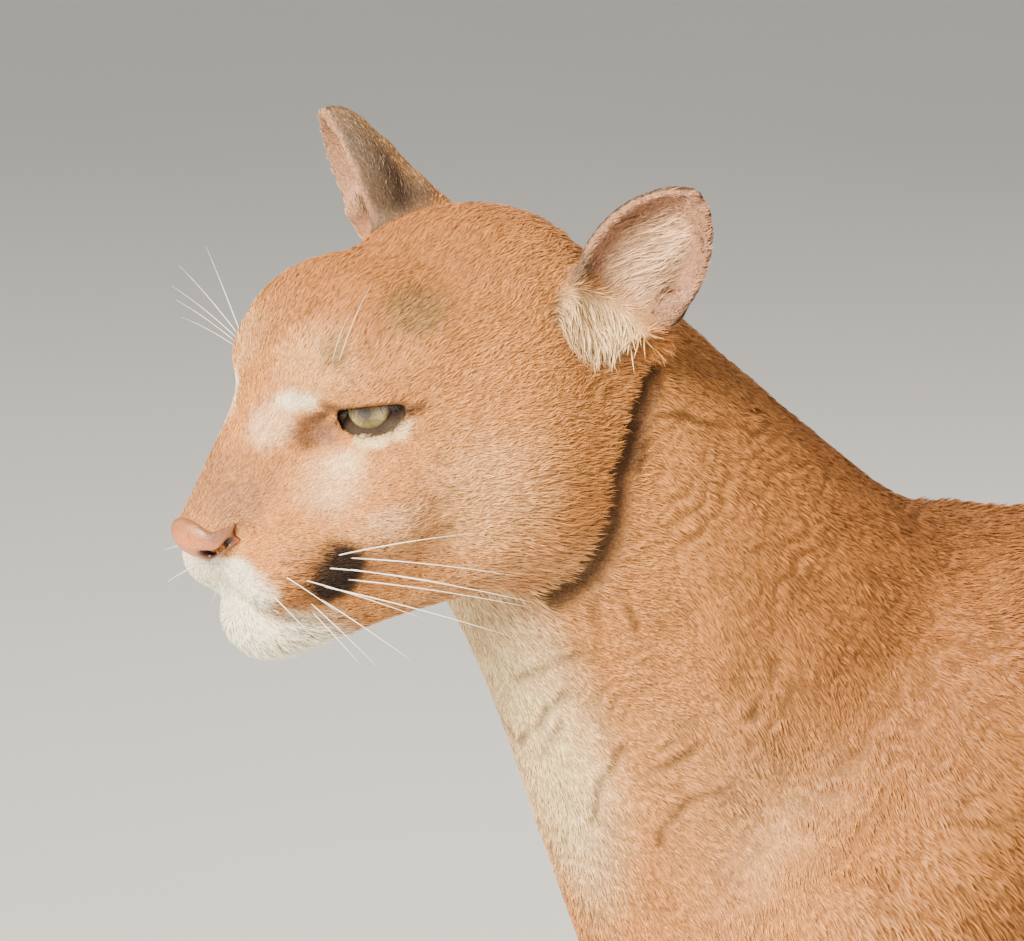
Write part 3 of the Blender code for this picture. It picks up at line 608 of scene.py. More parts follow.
def give_colours(obj: bpy.types.Object, colours: Array, name: str = "coat_colour") -> None:
    """Stores one linear colour for each point."""
    layer = obj.data.color_attributes.new(name, "FLOAT_COLOR", "POINT")
    rows = np.ones((len(colours), 4), np.float32)
    rows[:, :3] = colours
    layer.data.foreach_set("color", rows.ravel())


def measured_shift() -> Array:
    """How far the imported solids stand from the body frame, read from the left eye's box."""
    low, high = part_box("left_eye")
    middle = (np.asarray(low) + np.asarray(high)) / 2
    return from_head_frame(np.array(EYE_AT)) - middle / METRE


SHIFT = measured_shift()


def tone(red: float, green: float, blue: float) -> Array:
    """A colour given as display values from 0 to 255, as linear light."""
    value = np.array((red, green, blue), float) / 255
    return np.where(value <= 0.04045, value / 12.92, ((value + 0.055) / 1.055) ** 2.4)


def waves(points: Array, size: float, seed: int, count: int = 7) -> Array:
    """A soft random field from -1 to 1: the mean of sines that run in random directions, about size apart."""
    rng = np.random.default_rng(seed)
    directions = unit(rng.normal(size=(count, 3))) * (2 * math.pi / size) * rng.uniform(0.7, 1.4, (count, 1))
    return np.sin(points @ directions.T + rng.uniform(0, 6.3, count)).sum(1) / math.sqrt(count) / 1.3


TAWNY = tone(202, 136, 72)
GOLD = tone(206, 136, 72)
RUSSET = tone(166, 106, 54)
SADDLE = tone(158, 98, 46)
OLIVE = tone(132, 104, 62)
BRIDGE = tone(162, 114, 72)
SAND = tone(230, 174, 114)
ROSE = tone(236, 190, 148)
CREAM = tone(246, 214, 162)
WHITE = tone(255, 238, 208)
UMBER = tone(92, 60, 40)
BLACK = tone(34, 25, 20)
MAUVE = tone(150, 106, 82)
EAR_GREY = tone(104, 84, 66)
EAR_PINK = tone(178, 132, 102)
LEATHER = tone(202, 120, 72)


@dataclass(frozen=True)
class Mark:
    """A soft-edged patch of the coat: an ellipsoid that tints, or sets the hair, within it."""

    at: Vector
    radii: Vector
    value: object
    strength: float = 1.0
    soft: float = 0.45
    turn: Vector = (0, 0, 0)

    def share(self, points: Array) -> Array:
        """From 1 well inside to 0 outside, by the scaled distance k: 1 - ramp(k, 1 - soft, 1 + soft)."""
        scaled = (points - np.asarray(self.at)) @ turning(*self.turn) / np.asarray(self.radii)
        size = np.sqrt((scaled**2).sum(1))
        return self.strength * (1 - ramp(size, 1 - self.soft, 1 + self.soft))


BODY_MARKS = (
    Mark((0, -5, 70), (9, 60, 10), SADDLE, 0.6, 0.5),
    Mark((0, -8, 62), (16, 34, 12), GOLD, 0.5, 0.5),
    Mark((0, 0, 34), (8.5, 52, 11), CREAM, 0.9, 0.3),
    Mark((0, -52, 46), (8, 12, 15), CREAM, 0.75, 0.5),
    Mark((0, -43, 63), (18, 14, 9), SADDLE, 0.8, 0.6),             # withers
    Mark((0, -40, 50), (20, 15, 17), RUSSET, 0.7, 0.6),            # shoulders
    Mark((0, -62.5, 51), (7.0, 6.5, 13), CREAM, 0.95, 0.4),        # throat
    Mark((5.5, -60, 62), (2.6, 3.5, 4.0), GOLD, 0.35, 0.5),        # beside the throat
    Mark((0, -41, 24), (5.6, 16, 22), CREAM, 0.7, 0.35),
    Mark((0, 33, 24), (6.2, 18, 22), CREAM, 0.6, 0.35),
    Mark((0, -47, 0), (16, 14, 6), SAND, 0.8, 0.4),
    Mark((0, 33, 0), (16, 16, 6), SAND, 0.8, 0.4),
    Mark((0, 92, 14), (6, 8, 6), UMBER, 0.95, 0.4),
    Mark((0, 96, 15), (6, 6, 6), BLACK, 0.9, 0.4),
)
HEAD_MARKS = (
    Mark((0, -2.0, 6.5), (6.5, 9.5, 4.5), RUSSET, 0.9, 0.6),             # crown
    Mark((2.6, -9.0, 3.6), (2.0, 1.8, 1.8), SAND, 0.6, 0.6),             # brow
    Mark((4.6, -4.2, 4.8), (1.6, 1.7, 1.1), OLIVE, 0.75, 0.5),           # temple
    Mark((0, -13.4, -0.4), (2.2, 2.8, 1.5), BRIDGE, 0.8, 0.5),           # bridge of the nose
    Mark((1.7, -13.9, -1.0), (0.9, 1.2, 0.8), MAUVE, 0.5, 0.6),          # above the nostril
    Mark((4.2, -10.6, -0.9), (1.3, 1.5, 1.3), ROSE, 0.6, 0.6),           # below the eye
    Mark((4.4, -9.9, -0.3), (0.8, 0.9, 0.6), CREAM, 0.6, 0.6),
    Mark((1.5, -11.3, 1.7), (0.9, 1.2, 1.0), ROSE, 0.75, 0.5),           # beside the bridge
    Mark((2.2, -10.2, 2.5), (0.95, 1.0, 0.4), WHITE, 0.8, 0.6),          # over the inner corner
    Mark((3.45, -8.3, 4.5), (0.55, 0.6, 0.95), OLIVE, 0.65, 0.6),        # smudge over the eye
    Mark((2.6, -10.2, 1.0), (0.7, 0.8, 0.85), UMBER, 0.8, 0.5),          # tear mark
    Mark((3.2, -9.6, 0.75), (0.65, 0.6, 0.6), MAUVE, 0.85, 0.5),
    Mark((2.95, -9.6, 1.6), (0.55, 0.6, 0.3), UMBER, 0.9, 0.4),          # inner corner of the lids: dark lid skin, and with the next mark painted shadow above the corner
    Mark((3.45, -9.15, 2.05), (0.55, 0.5, 0.3), UMBER, 0.85, 0.5),
    Mark((5.85, -6.6, 1.2), (0.5, 0.7, 0.25), UMBER, 0.85, 0.5),         # outer corner of the lids
    Mark((4.9, -8.6, 0.35), (0.9, 0.7, 0.42), CREAM, 0.9, 0.4),          # under the eye
    Mark((5.6, -7.5, 0.55), (0.7, 0.7, 0.42), CREAM, 0.8, 0.5),
    Mark((6.3, -9.4, -3.1), (1.1, 1.4, 0.8), ROSE, 0.6, 0.6),            # cheekbone
    Mark((5.2, -9.6, -4.2), (1.6, 2.4, 1.6), SAND, 0.5, 0.6),
    Mark((5.4, -4.4, -9.2), (3.0, 6.0, 2.4), SAND, 0.6, 0.5),            # jaw
    Mark((0.9, -15.1, -4.9), (2.4, 1.5, 1.95), WHITE, 1.0, 0.2),         # whisker pad in front
    Mark((0, -13.2, -8.1), (3.5, 3.2, 2.5), WHITE, 1.0, 0.25),           # chin
    Mark((6.9, -5.2, -3.9), (2.6, 3.4, 2.8), SAND, 0.7, 0.6),            # cheek
    Mark((0, -4.0, -12.5), (4.5, 8, 4.0), CREAM, 0.85, 0.4),             # throat
    Mark((2.0, -3.5, -19.5), (3.6, 4.5, 7.5), CREAM, 0.9, 0.5),
    Mark((4.3, -11.75, -4.95), (1.4, 1.25, 2.0), BLACK, 0.97, 0.25, (-14, 0, 0)),    # dark patch
    Mark((3.9, -13.0, -4.2), (0.9, 0.8, 1.1), UMBER, 0.45, 0.6),
)
NOSE_MARKS = (
    Mark((0, -15.9, -1.1), (2.2, 1.1, 0.6), BRIDGE, 0.8, 0.5),
    Mark((1.8, -15.1, -1.75), (0.95, 1.0, 0.5), MAUVE, 0.85, 0.5),       # wing over the nostril
    Mark((1.0, -15.5, -3.25), (0.6, 0.8, 0.6), tone(118, 52, 42), 0.9, 0.4),
    Mark((0, -15.6, -4.7), (0.5, 1.2, 0.7), tone(150, 84, 70), 0.7, 0.5),
)
FOLDS = (
    ((6.7, -56.8, 57.0), (6.1, -57.9, 55.9), (5.5, -58.9, 54.8)),
    ((7.8, -52.5, 55.5), (7.1, -54.9, 55.0), (6.2, -57.2, 54.1), (5.4, -58.3, 52.3)),
    ((4.2, -62.3, 59.6), (2.5, -62.8, 58.0), (0.2, -62.7, 56.1)),
    ((5.2, -62.2, 61.8), (3.7, -63.2, 60.7), (2.0, -63.7, 59.6)),
    ((6.3, -61.8, 64.5), (5.9, -61.7, 63.1), (5.3, -61.7, 61.1)),
    ((6.7, -60.9, 64.8), (6.5, -60.4, 63.1), (6.5, -59.6, 61.6)),
    ((3.3, -62.2, 57.8), (2.0, -62.3, 56.1)),
    ((5.6, -59.7, 57.7), (4.2, -60.5, 55.0), (3.1, -60.6, 52.9)),
    ((8.1, -53.7, 60.6), (7.8, -54.3, 59.2), (7.5, -54.7, 58.0)),
    ((8.3, -52.8, 59.6), (8.0, -53.2, 58.4)),
    ((7.9, -54.0, 64.5), (7.8, -52.6, 64.5), (7.6, -50.8, 64.4)),
    ((6.3, -59.0, 72.6), (6.1, -57.2, 72.3), (5.7, -54.9, 71.5)),
    ((6.7, -59.5, 71.5), (7.0, -60.2, 70.2)),
)


@dataclass(frozen=True)
class Hair:
    """Length and width of a tuft in centimetres, and the share of its length that it stands off."""

    length: float
    width: float
    lift: float

    def row(self) -> Array:
        """The three sizes as an array."""
        return np.array((self.length, self.width, self.lift))


COAT = Hair(1.6, 0.13, 0.15)
BODY_HAIR = (
    Mark((0, -38, 52), (20, 22, 22), Hair(1.0, 0.08, 0.14), 1.0, 0.3),
    Mark((0, -53, 62), (15, 15, 17), Hair(0.62, 0.052, 0.14), 1.0, 0.3),
    Mark((0, -63, 51), (6.5, 7, 13), Hair(1.3, 0.075, 0.2), 1.0, 0.4),
    Mark((0, -50, 40), (9, 14, 9), Hair(2.2, 0.13, 0.22), 1.0, 0.4),
    Mark((0, 0, 36), (9, 60, 8), Hair(2.4, 0.16, 0.22), 1.0, 0.4),
    Mark((0, -40, 14), (20, 22, 24), Hair(1.0, 0.11, 0.14), 1.0, 0.25),
    Mark((0, 38, 16), (20, 24, 22), Hair(1.1, 0.12, 0.14), 1.0, 0.25),
    Mark((0, -46, 0), (20, 16, 9), Hair(0.7, 0.1, 0.15), 1.0, 0.3),
    Mark((0, 33, 0), (20, 18, 9), Hair(0.7, 0.1, 0.15), 1.0, 0.3),
    Mark((0, 92, 14), (6, 14, 8), Hair(2.4, 0.15, 0.22), 1.0, 0.5),
)
HEAD_COAT = Hair(0.5, 0.05, 0.16)
HEAD_HAIR = (
    Mark((0, -10, 0.5), (4.6, 9, 4.5), Hair(0.32, 0.04, 0.16), 1.0, 0.3),
    Mark((4.0, -8.5, -1.0), (3.0, 4.5, 3.5), Hair(0.32, 0.04, 0.16), 1.0, 0.3),
    Mark((6.0, 0.5, -6.5), (3.5, 4.5, 4.5), Hair(0.75, 0.055, 0.2), 1.0, 0.4),
    Mark((4.5, -3.5, -10.0), (4.0, 6.0, 2.0), Hair(0.9, 0.055, 0.25), 1.0, 0.4),
    Mark((0, -12.8, -9.0), (3.6, 3.6, 1.7), Hair(0.85, 0.045, 0.4), 1.0, 0.4),
    Mark((0, -14.6, -4.2), (3.4, 2.2, 2.0), Hair(0.28, 0.038, 0.14), 1.0, 0.3),
    Mark((2.9, -9.9, 1.4), (1.3, 1.4, 1.4), Hair(0.24, 0.036, 0.14), 1.0, 0.3),
)
EAR_BACK_HAIR = Hair(0.42, 0.05, 0.08)
EAR_RIM_HAIR = Hair(0.32, 0.042, 0.1)
EAR_INNER_HAIR = Hair(1.5, 0.05, 0.16)
EAR_ROOT_HAIR = Hair(1.3, 0.055, 0.28)
EAR_INNER = Mark((-0.1, -0.2, -0.5), (1.4, 2.5, 4.0), None, 1.0, 0.3)        # the cup's long pale hair
EAR_ROOT = Mark((0.0, -3.3, 0.9), (2.3, 1.4, 2.2), None, 1.0, 0.25)          # the tufts under the cup
EAR_HOLLOW = Mark((1.0, 0.0, -0.5), (0.55, 1.5, 3.0), None, 0.6, 0.5)        # the cup's shaded bottom
EAR_PATCH = Mark((-2.4, -1.75, 0.4), (0.8, 0.8, 0.9), None, 0.8, 0.5)        # dark spot before the cup
EAR_SHADOW = Limb((-1.1, -2.25, 0.9), (0.9, -1.1, 0.3), 0.12, 0.08)          # under the cup's lower edge
PAD = Mark((3.3, -13.2, -4.6), (1.5, 1.5, 1.4), None, 1.0, 0.3)              # where the whiskers' spots are
PAD_ROW = 0.62
PAD_SPOT = 0.75
RIPPLE_WAVE = 0.62
RIPPLE_SHADE = 0.34
FOLD_SHADE = 0.62
UNDER_FUR_TONE = 0.72
# Each tuft's root is darkened as painted shade deep in the coat, and its tip brightened as painted light.
ROOT_SHADE_TONE = 0.6
TIP_LIGHT_TONE = 1.18
TICKED_SHARE = 0.16
TUFT_SUNK = 0.06
PATCH_SIZE = 0.003
FLOOR_GAP = 0.03
HEAD_FROM = 0.35


def leather(mirror: Array) -> Array:
    """How far places lie outside the bare nose: a ball, its wings and the strip down to the lip, joined."""
    shape = Ball((0, -16.1, -2.2), (1.75, 1.3, 1.15), 0, (NOSE_TILT, 0, 0)).outside(mirror)
    shape = join(shape, Limb((1.1, -15.6, -2.3), (2.05, -14.45, -2.0), 0.62, 0.42).outside(mirror), 0.3)
    return join(shape, Limb((0, -16.0, -3.0), (0, -15.3, -4.75), 0.8, 0.3).outside(mirror), 0.3)


@dataclass
class EarPlace:
    """How places lie on one ear: local points, with x to its outer edge, and their share in each zone."""

    ear: Ear
    local: Array
    on_ear: Array
    in_cup: Array

    def inner(self) -> Array:
        """Share of the cup's long pale hair."""
        return self.in_cup * EAR_INNER.share(self.local)

    def root(self) -> Array:
        """Share of the tufts under the cup."""
        return (1 - 0.7 * self.on_ear) * EAR_ROOT.share(self.local)


class Coat:
    """What the coat is like at each place: its colour, the length of its hair and the way that it lies."""

    SOURCE = (0.0, -18.5, -2.6)

    def head_share(self, body: Array) -> Array:
        """1 on the head, 0 on the neck and beyond."""
        head = in_head_frame(body)
        return 1 - ramp(head[:, 1] - 0.35 * np.clip(head[:, 2], -8, 8), 2.0, 9.0)

    def ear_places(self, head: Array, normals: Array) -> list[EarPlace]:
        """How the places lie on either ear."""
        found = []
        for ear in (LEFT_EAR, RIGHT_EAR):
            local = ear.local(head)
            size = np.sqrt(((local / (EAR_WIDE * 1.35, EAR_LONG * 1.2, EAR_DEEP * 1.5)) ** 2).sum(1))
            on_ear = (1 - ramp(size, 0.92, 1.1)) * ramp(local[:, 1], -2.6, -0.9)
            facing = normals @ HEAD_TURN @ ear.frame().T
            in_cup = on_ear * ramp(facing[:, 2], 0.0, 0.35) * (1 - ramp(np.abs(local[:, 0]), 2.5, 2.9))
            found.append(EarPlace(ear, local * (np.sign(ear.base[0]), 1, 1), on_ear, in_cup))
        return found

    def style(self, body: Array, normals: Array) -> Array:
        """Length, width and lift of the hair for each place: the body's and the head's marks, blended."""
        head = in_head_frame(body)
        mirror = mirrored(head)
        whole = np.tile(COAT.row(), (len(body), 1))
        for mark in BODY_HAIR:
            whole += mark.share(body)[:, None] * (mark.value.row() - whole)
        own = np.tile(HEAD_COAT.row(), (len(body), 1))
        for mark in HEAD_HAIR:
            own += mark.share(mirror)[:, None] * (mark.value.row() - own)
        whole += self.head_share(body)[:, None] * (own - whole)
        for place in self.ear_places(head, normals):
            for share, hair in ((place.root(), EAR_ROOT_HAIR), (place.on_ear, EAR_BACK_HAIR),
                                (place.in_cup, EAR_RIM_HAIR), (place.inner(), EAR_INNER_HAIR)):
                whole += share[:, None] * (hair.row() - whole)
        shorter = (1 - 0.55 * self.lid_share(mirror)) * (1 - 0.5 * self.lip_share(mirror))
        whole[:, 0] *= shorter * (1 - 0.6 * self.crease_share(mirror)) * (1 - 0.3 * self.fold_share(body))
        return whole

    def lid_share(self, mirror: Array) -> Array:
        """1 at the rim of the lids, 0 a little way off."""
        away = np.sqrt(((mirror - np.asarray(EYE_AT)) ** 2).sum(1))
        near = away < EYE_RADIUS + 1.6
        share = np.zeros(len(mirror))
        if near.any():
            share[near] = 1 - ramp(Animal().lid_opening(mirror[near]), 0.0, 0.2)
        return share

    def lip_share(self, mirror: Array) -> Array:
        """1 on the line where the lips meet, 0 a little way off."""
        near = (mirror[:, 1] < -9) & (mirror[:, 2] < -3.5)
        share = np.zeros(len(mirror))
        if near.any():
            share[near] = 1 - ramp(Animal().groove(mirror[near], MOUTH, MOUTH_RADIUS), 0.04, 0.22)
            share[near] = np.maximum(share[near], 1 - ramp(PHILTRUM.outside(mirror[near]), 0.0, 0.15))
        return share

    def crease_share(self, mirror: Array) -> Array:
        """1 in the deep crease behind the cheek, 0 a little way off: the hair is shorter and sparser there,
        and the coat is darkened there with painted shadow.
        """
        near = (mirror[:, 1] > -3.5) & (mirror[:, 1] < 8) & (mirror[:, 2] < -1)
        share = np.zeros(len(mirror))
        if near.any():
            share[near] = 1 - ramp(Animal().groove(mirror[near], CREASE, CREASE_RADIUS), 0.05, 0.5)
        return share

    def fold_share(self, body: Array) -> Array:
        """1 in the folds of the neck's and the breast's skin, 0 a little way off."""
        near = (body[:, 1] < -46) & (body[:, 2] > 48)
        share = np.zeros(len(body))
        if near.any():
            some = mirrored(body[near])
            bend = np.column_stack([0.16 * waves(some, 2.4, 90 + k) for k in range(3)])
            pieces = [Limb(a, b, 0, 0) for line in FOLDS for a, b in zip(line[:-1], line[1:])]
            lines = [piece.outside(some + bend) for piece in pieces]
            share[near] = 1 - ramp(np.min(lines, axis=0), 0.03, 0.3)
        return share

    def pad_rows(self, mirror: Array) -> Array:
        """Fine dark spots in rows along the whisker pad: rows across z, spots along y."""
        slope = mirror[:, 2] + 0.28 * (mirror[:, 1] + 13)
        row = np.cos((slope + 4.4) * 2 * math.pi / PAD_ROW)
        spot = np.cos(mirror[:, 1] * 2 * math.pi / PAD_SPOT + 2.1 * np.round((slope + 4.4) / PAD_ROW))
        return PAD.share(mirror) * ramp(row, 0.0, 0.9) * ramp(spot, -0.4, 0.8)

    def colour(self, body: Array, normals: Array) -> Array:
        """The coat's linear colour for each place: tawny, tinted by the marks and by soft random fields, with
        painted shade in the ears' cups and painted shadow in the crease behind the cheek.
        """
        head = in_head_frame(body)
        mirror = mirrored(head)
        found = np.tile(TAWNY, (len(body), 1))
        for mark in BODY_MARKS:
            found += mark.share(body)[:, None] * (mark.value - found)
        own = np.tile(TAWNY, (len(body), 1))
        wobble = np.column_stack([0.13 * waves(head, 1.3, 50 + k) for k in range(3)])
        for mark in HEAD_MARKS:
            own += mark.share(mirror + wobble)[:, None] * (mark.value - own)
        own += (0.6 * self.pad_rows(mirror))[:, None] * (UMBER - own)
        found += self.head_share(body)[:, None] * (own - found)
        for place in self.ear_places(head, normals):
            local = place.local
            middle = 1 - ramp(np.hypot(local[:, 0] / 1.6, (local[:, 1] - 1.2) / 2.6), 0.6, 1.3)
            back = EAR_GREY + middle[:, None] * (SAND - EAR_GREY) * 0.45
            shaded = np.maximum(EAR_HOLLOW.share(local) * place.in_cup,
                                0.75 * (1 - ramp(EAR_SHADOW.outside(local), 0.0, 0.3)))
            for share, colour in ((0.8 * place.root(), CREAM), (place.on_ear, back), (place.in_cup, EAR_PINK),
                                  (place.inner(), ROSE), (shaded, UMBER), (EAR_PATCH.share(local), EAR_GREY)):
                found += share[:, None] * (colour - found)
        # The lid rims and the lip line are the skin's own dark colour; the crease behind the cheek gets
        # painted shadow, umber at 0.45.
        for share, colour in ((0.95 * self.lid_share(mirror), BLACK), (0.7 * self.lip_share(mirror), UMBER),
                              (0.9 * self.crease_share(mirror), UMBER * 0.45)):
            found += share[:, None] * (colour - found)
        dapple = 1 + 0.05 * waves(body, 7.0, 3) + 0.05 * waves(body, 1.6, 4)
        return np.clip(found * dapple[:, None], 0.003, 0.95)

    def shade(self, body: Array) -> Array:
        """How bright each place is left by the neck's ripples and folds: 1 away from them."""
        rippled = 1 - RIPPLE_SHADE * np.clip(-self.ripple(body), 0, 1)
        return rippled * (1 - FOLD_SHADE * self.fold_share(body))

    def flow(self, body: Array, normals: Array) -> Array:
        """The way of the hair: away from the nose on the head, back and down the body, down the legs."""
        head = in_head_frame(body)
        away = unit(head - np.asarray(self.SOURCE)) @ HEAD_TURN.T
        back = np.tile(np.array((0.0, 1.0, -0.22)), (len(body), 1))
        backward = 0.35 + 0.5 * ramp(body[:, 2], 55, 75)
        down_neck = np.column_stack((0 * backward, backward, np.full(len(body), -0.75)))
        lie = back + (1 - ramp(body[:, 1], -50, -34))[:, None] * (unit(down_neck) - back)
        for low, high in ((-62, -26), (16, 62)):
            leg = ramp(body[:, 1], low, low + 6) * (1 - ramp(body[:, 1], high, high + 6))
            leg = leg * (1 - ramp(body[:, 2], 34, 50))
            leg *= ramp(np.abs(body[:, 0]), 2, 5)
            lie = lie + leg[:, None] * (np.array((0, 0.12, -1.0)) - lie)
        on_tail = ramp(body[:, 1], 43, 50)
        if (on_tail > 0).any():
            line = tail_line()[:, :3]
            tangent = unit(np.gradient(line, axis=0))
            some = np.flatnonzero(on_tail > 0)
            nearest = np.argmin(((body[some, None] - line[None]) ** 2).sum(2), axis=1)
            lie[some] += on_tail[some, None] * (tangent[nearest] - lie[some])
        foot = (1 - ramp(body[:, 2], 2, 8))[:, None]
        lie = lie + foot * (np.array((0, -1.0, -0.35)) - lie)
        lie = lie + self.head_share(body)[:, None] * (away - lie)
        for place in self.ear_places(head, normals):
            across, along, out = place.ear.frame() @ HEAD_TURN.T
            outward = across * np.sign(place.ear.base[0])
            down = 0.5 * outward - 0.85 * along + 0.1 * out
            for share, way in ((place.root(), down), (place.on_ear, along),
                               (place.in_cup, 0.8 * along + 0.42 * outward)):
                lie = lie + share[:, None] * (unit(way) - lie)
        lie = lie - (lie * normals).sum(1)[:, None] * normals
        return unit(lie)

    def ripple(self, body: Array) -> Array:
        """Fine folds across the neck: a sine along the neck, bent by soft random fields, from -1 to 1."""
        found = np.zeros(len(body))
        near = (body[:, 1] > -64) & (body[:, 1] < -22) & (body[:, 2] > 44)
        if near.any():
            some = body[near]
            along = 0.62 * some[:, 1] - 0.78 * some[:, 2]
            bend = 0.8 * waves(some, 6.0, 21) + 0.25 * waves(some, 1.8, 22)
            place = ramp(some[:, 1], -64, -60) * (1 - ramp(some[:, 1], -38, -24)) * ramp(some[:, 2], 44, 52)
            strength = np.clip(0.5 + 0.6 * waves(some, 3.2, 23), 0, 1)
            found[near] = place * strength * np.sin((along + bend) * 2 * math.pi / RIPPLE_WAVE)
        return found


@dataclass
class Skin:
    """One closed skin under the whole coat: fine on the head, coarser behind it, joined into one mesh."""

    fine: float = 0.26
    joint_y: float = -55.5
    before_nose: float = -91.0
    head_side: float = -15.6
    head_low: float = 41.0
    head_high: float = 54.0
    body_side: float = -19.0
    body_low: float = -1.9
    body_size: Vector = (38.0, 152.5, 81.0)
    shape: Animal = field(default_factory=Animal)
    coat: Coat = field(default_factory=Coat)

    def parts(self) -> tuple[Array, Array]:
        """The head's grid and the body's, three times as coarse, with a strip of triangles between."""
        mesher = Mesher()
        coarse = 3 * self.fine
        block = 4 * self.fine
        rows = 4 * round((self.joint_y - self.before_nose) / block)
        low = (self.head_side, self.joint_y - rows * self.fine, self.head_low)
        counts = (4 * round(-2 * self.head_side / block) + 1, rows + 1, 4 * round(self.head_high / block) + 1)
        head_points, head_quads = mesher.surface(self.shape.whole, low, counts, self.fine)
        counts = [4 * math.ceil(size / (4 * coarse)) + 1 for size in self.body_size]
        low = (self.body_side, self.joint_y, self.body_low)
        body_points, body_quads = mesher.surface(self.shape.whole, low, counts, coarse)
        middle = head_points[np.abs(head_points[:, 1] - self.joint_y) < self.fine].mean(0)
        near, near_turn = self.rim(head_points, head_quads, middle)
        far, far_turn = self.rim(body_points, body_quads, middle)
        strip = self.zipped(near, near_turn, far + len(head_points), far_turn)
        points = np.concatenate((head_points, body_points))
        corners = points[strip]
        outward = np.cross(corners[:, 1] - corners[:, 0], corners[:, 2] - corners[:, 0])
        if ((corners.mean(1) - middle) * outward).sum() < 0:
            strip = strip[:, ::-1]
        faces = [strip]
        for quads in (head_quads, body_quads + len(head_points)):
            a, b, c, d = (points[quads[:, k]] for k in range(4))
            short = (np.linalg.norm(a - c, axis=1) <= np.linalg.norm(b - d, axis=1))[:, None]
            faces.append(np.where(short, quads[:, (0, 1, 2)], quads[:, (0, 1, 3)]))
            faces.append(np.where(short, quads[:, (0, 2, 3)], quads[:, (1, 2, 3)]))
        return points, np.concatenate(faces)

    def rim(self, points: Array, quads: Array, middle: Array) -> tuple[Array, Array]:
        """The mesh's one open edge.

        Args:
            points: the mesh's points.
            quads: its faces.
            middle: a point in the middle of the opening.
        Returns:
            The edge's point numbers in order, and their turn about the middle, which never falls.
        """
        edges = np.concatenate([quads[:, (k, (k + 1) % 4)] for k in range(4)])
        there, back = edges[:, 0] * len(points) + edges[:, 1], edges[:, 1] * len(points) + edges[:, 0]
        following = dict(edges[~np.isin(there, back)].tolist())
        order = [next(iter(following))]
        while following[order[-1]] != order[0]:
            order.append(following[order[-1]])
        order = np.array(order)

        def turn(numbers: Array) -> Array:
            """The angle about the middle, from 0 to a full turn."""
            away = points[numbers] - middle
            return np.arctan2(away[:, 0], away[:, 2]) % (2 * math.pi)

        if (np.diff(turn(order)) < 0).mean() > 0.5:
            order = order[::-1]
        order = np.roll(order, -int(np.argmin(turn(order))))
        return order, np.maximum.accumulate(np.unwrap(turn(order)))

    def zipped(self, first: Array, first_turn: Array, second: Array, second_turn: Array) -> Array:
        """Triangles between two rims: each step along one goes to the point that the other has reached."""
        faces = []
        for own, own_turn, other, other_turn, side in ((first, first_turn, second, second_turn, "left"),
                                                       (second, second_turn, first, first_turn, "right")):
            until = np.append(own_turn[1:], own_turn[0] + 2 * math.pi)
            reached = np.searchsorted(np.append(other_turn, other_turn + 2 * math.pi), until, side) - 1
            step = (own, np.roll(own, -1)) if side == "left" else (np.roll(own, -1), own)
            faces.append(np.column_stack((*step, other[reached % len(other)])))
        return np.concatenate(faces)

    def finer(self, points: Array, faces: Array) -> tuple[Array, Array]:
        """Two rounds of refining at the paws, and one at the lids, lips and nostrils."""
        mesher = Mesher()
        for turn in range(2):
            middle = points[faces].mean(1)
            marked = middle[:, 2] < (9, 4.6)[turn]
            if turn == 0:
                head = mirrored(in_head_frame(middle))
                eye = np.sqrt(((head - np.asarray(EYE_AT)) ** 2).sum(1)) < EYE_RADIUS + 0.7
                mouth = Mark((0, -14.0, -4.3), (3.4, 3.2, 3.2), None, 1, 0.05).share(head) > 0.5
                marked |= eye | mouth
            points, faces, first = mesher.refine(points, faces, marked)
            points[first:] = mesher.settle(self.shape.whole, points[first:], 0.3, 1)
        return points, faces

    def normals(self, points: Array, faces: Array) -> Array:
        """Each point's normal: the sum of its faces' cross products."""
        corners = points[faces]
        cross = np.cross(corners[:, 1] - corners[:, 0], corners[:, 2] - corners[:, 0])
        total = np.zeros_like(points)
        for corner in range(3):
            for axis in range(3):
                total[:, axis] += np.bincount(faces[:, corner], cross[:, axis], len(points))
        return unit(total)

    def depth(self, points: Array, normals: Array) -> Array:
        """How far the skin lies under the solids: a share of the hair's length, least at eyes and nose."""
        mirror = mirrored(in_head_frame(points))
        length = self.coat.style(points, normals)[:, 0]
        depth = 0.07 + 0.2 * length
        for place in self.coat.ear_places(in_head_frame(points), normals):
            depth = depth * (1 - place.on_ear) + 0.1 * place.on_ear
        near = Mark(EYE_AT, (2.3, 2.3, 1.9), None, 0.85, 0.25).share(mirror)
        nose = 1 - ramp(leather(mirror), -0.05, 0.15)
        return depth * (1 - near) * (1 - nose) + 0.12 * nose

    def build(self) -> bpy.types.Object:
        """Makes the skin and keeps its points, faces and normals for the coat.

        Returns:
            The skin's object, which stands for every flesh node.
        """
        mesher = Mesher()
        points, faces = self.parts()
        points = mesher.settle(self.shape.whole, points, 0.2, 1)
        points, faces = self.finer(points, faces)
        normals = self.normals(points, faces)
        points = points - normals * self.depth(points, normals)[:, None]
        points[:, 2] = np.maximum(points[:, 2], 0.06)
        self.points, self.faces = points, faces
        self.point_normals = self.normals(points, faces)
        obj = new_object("skin", points, faces)
        colour = self.coat.colour(points, self.point_normals) * UNDER_FUR_TONE
        give_colours(obj, colour * self.coat.shade(points)[:, None])
        return obj


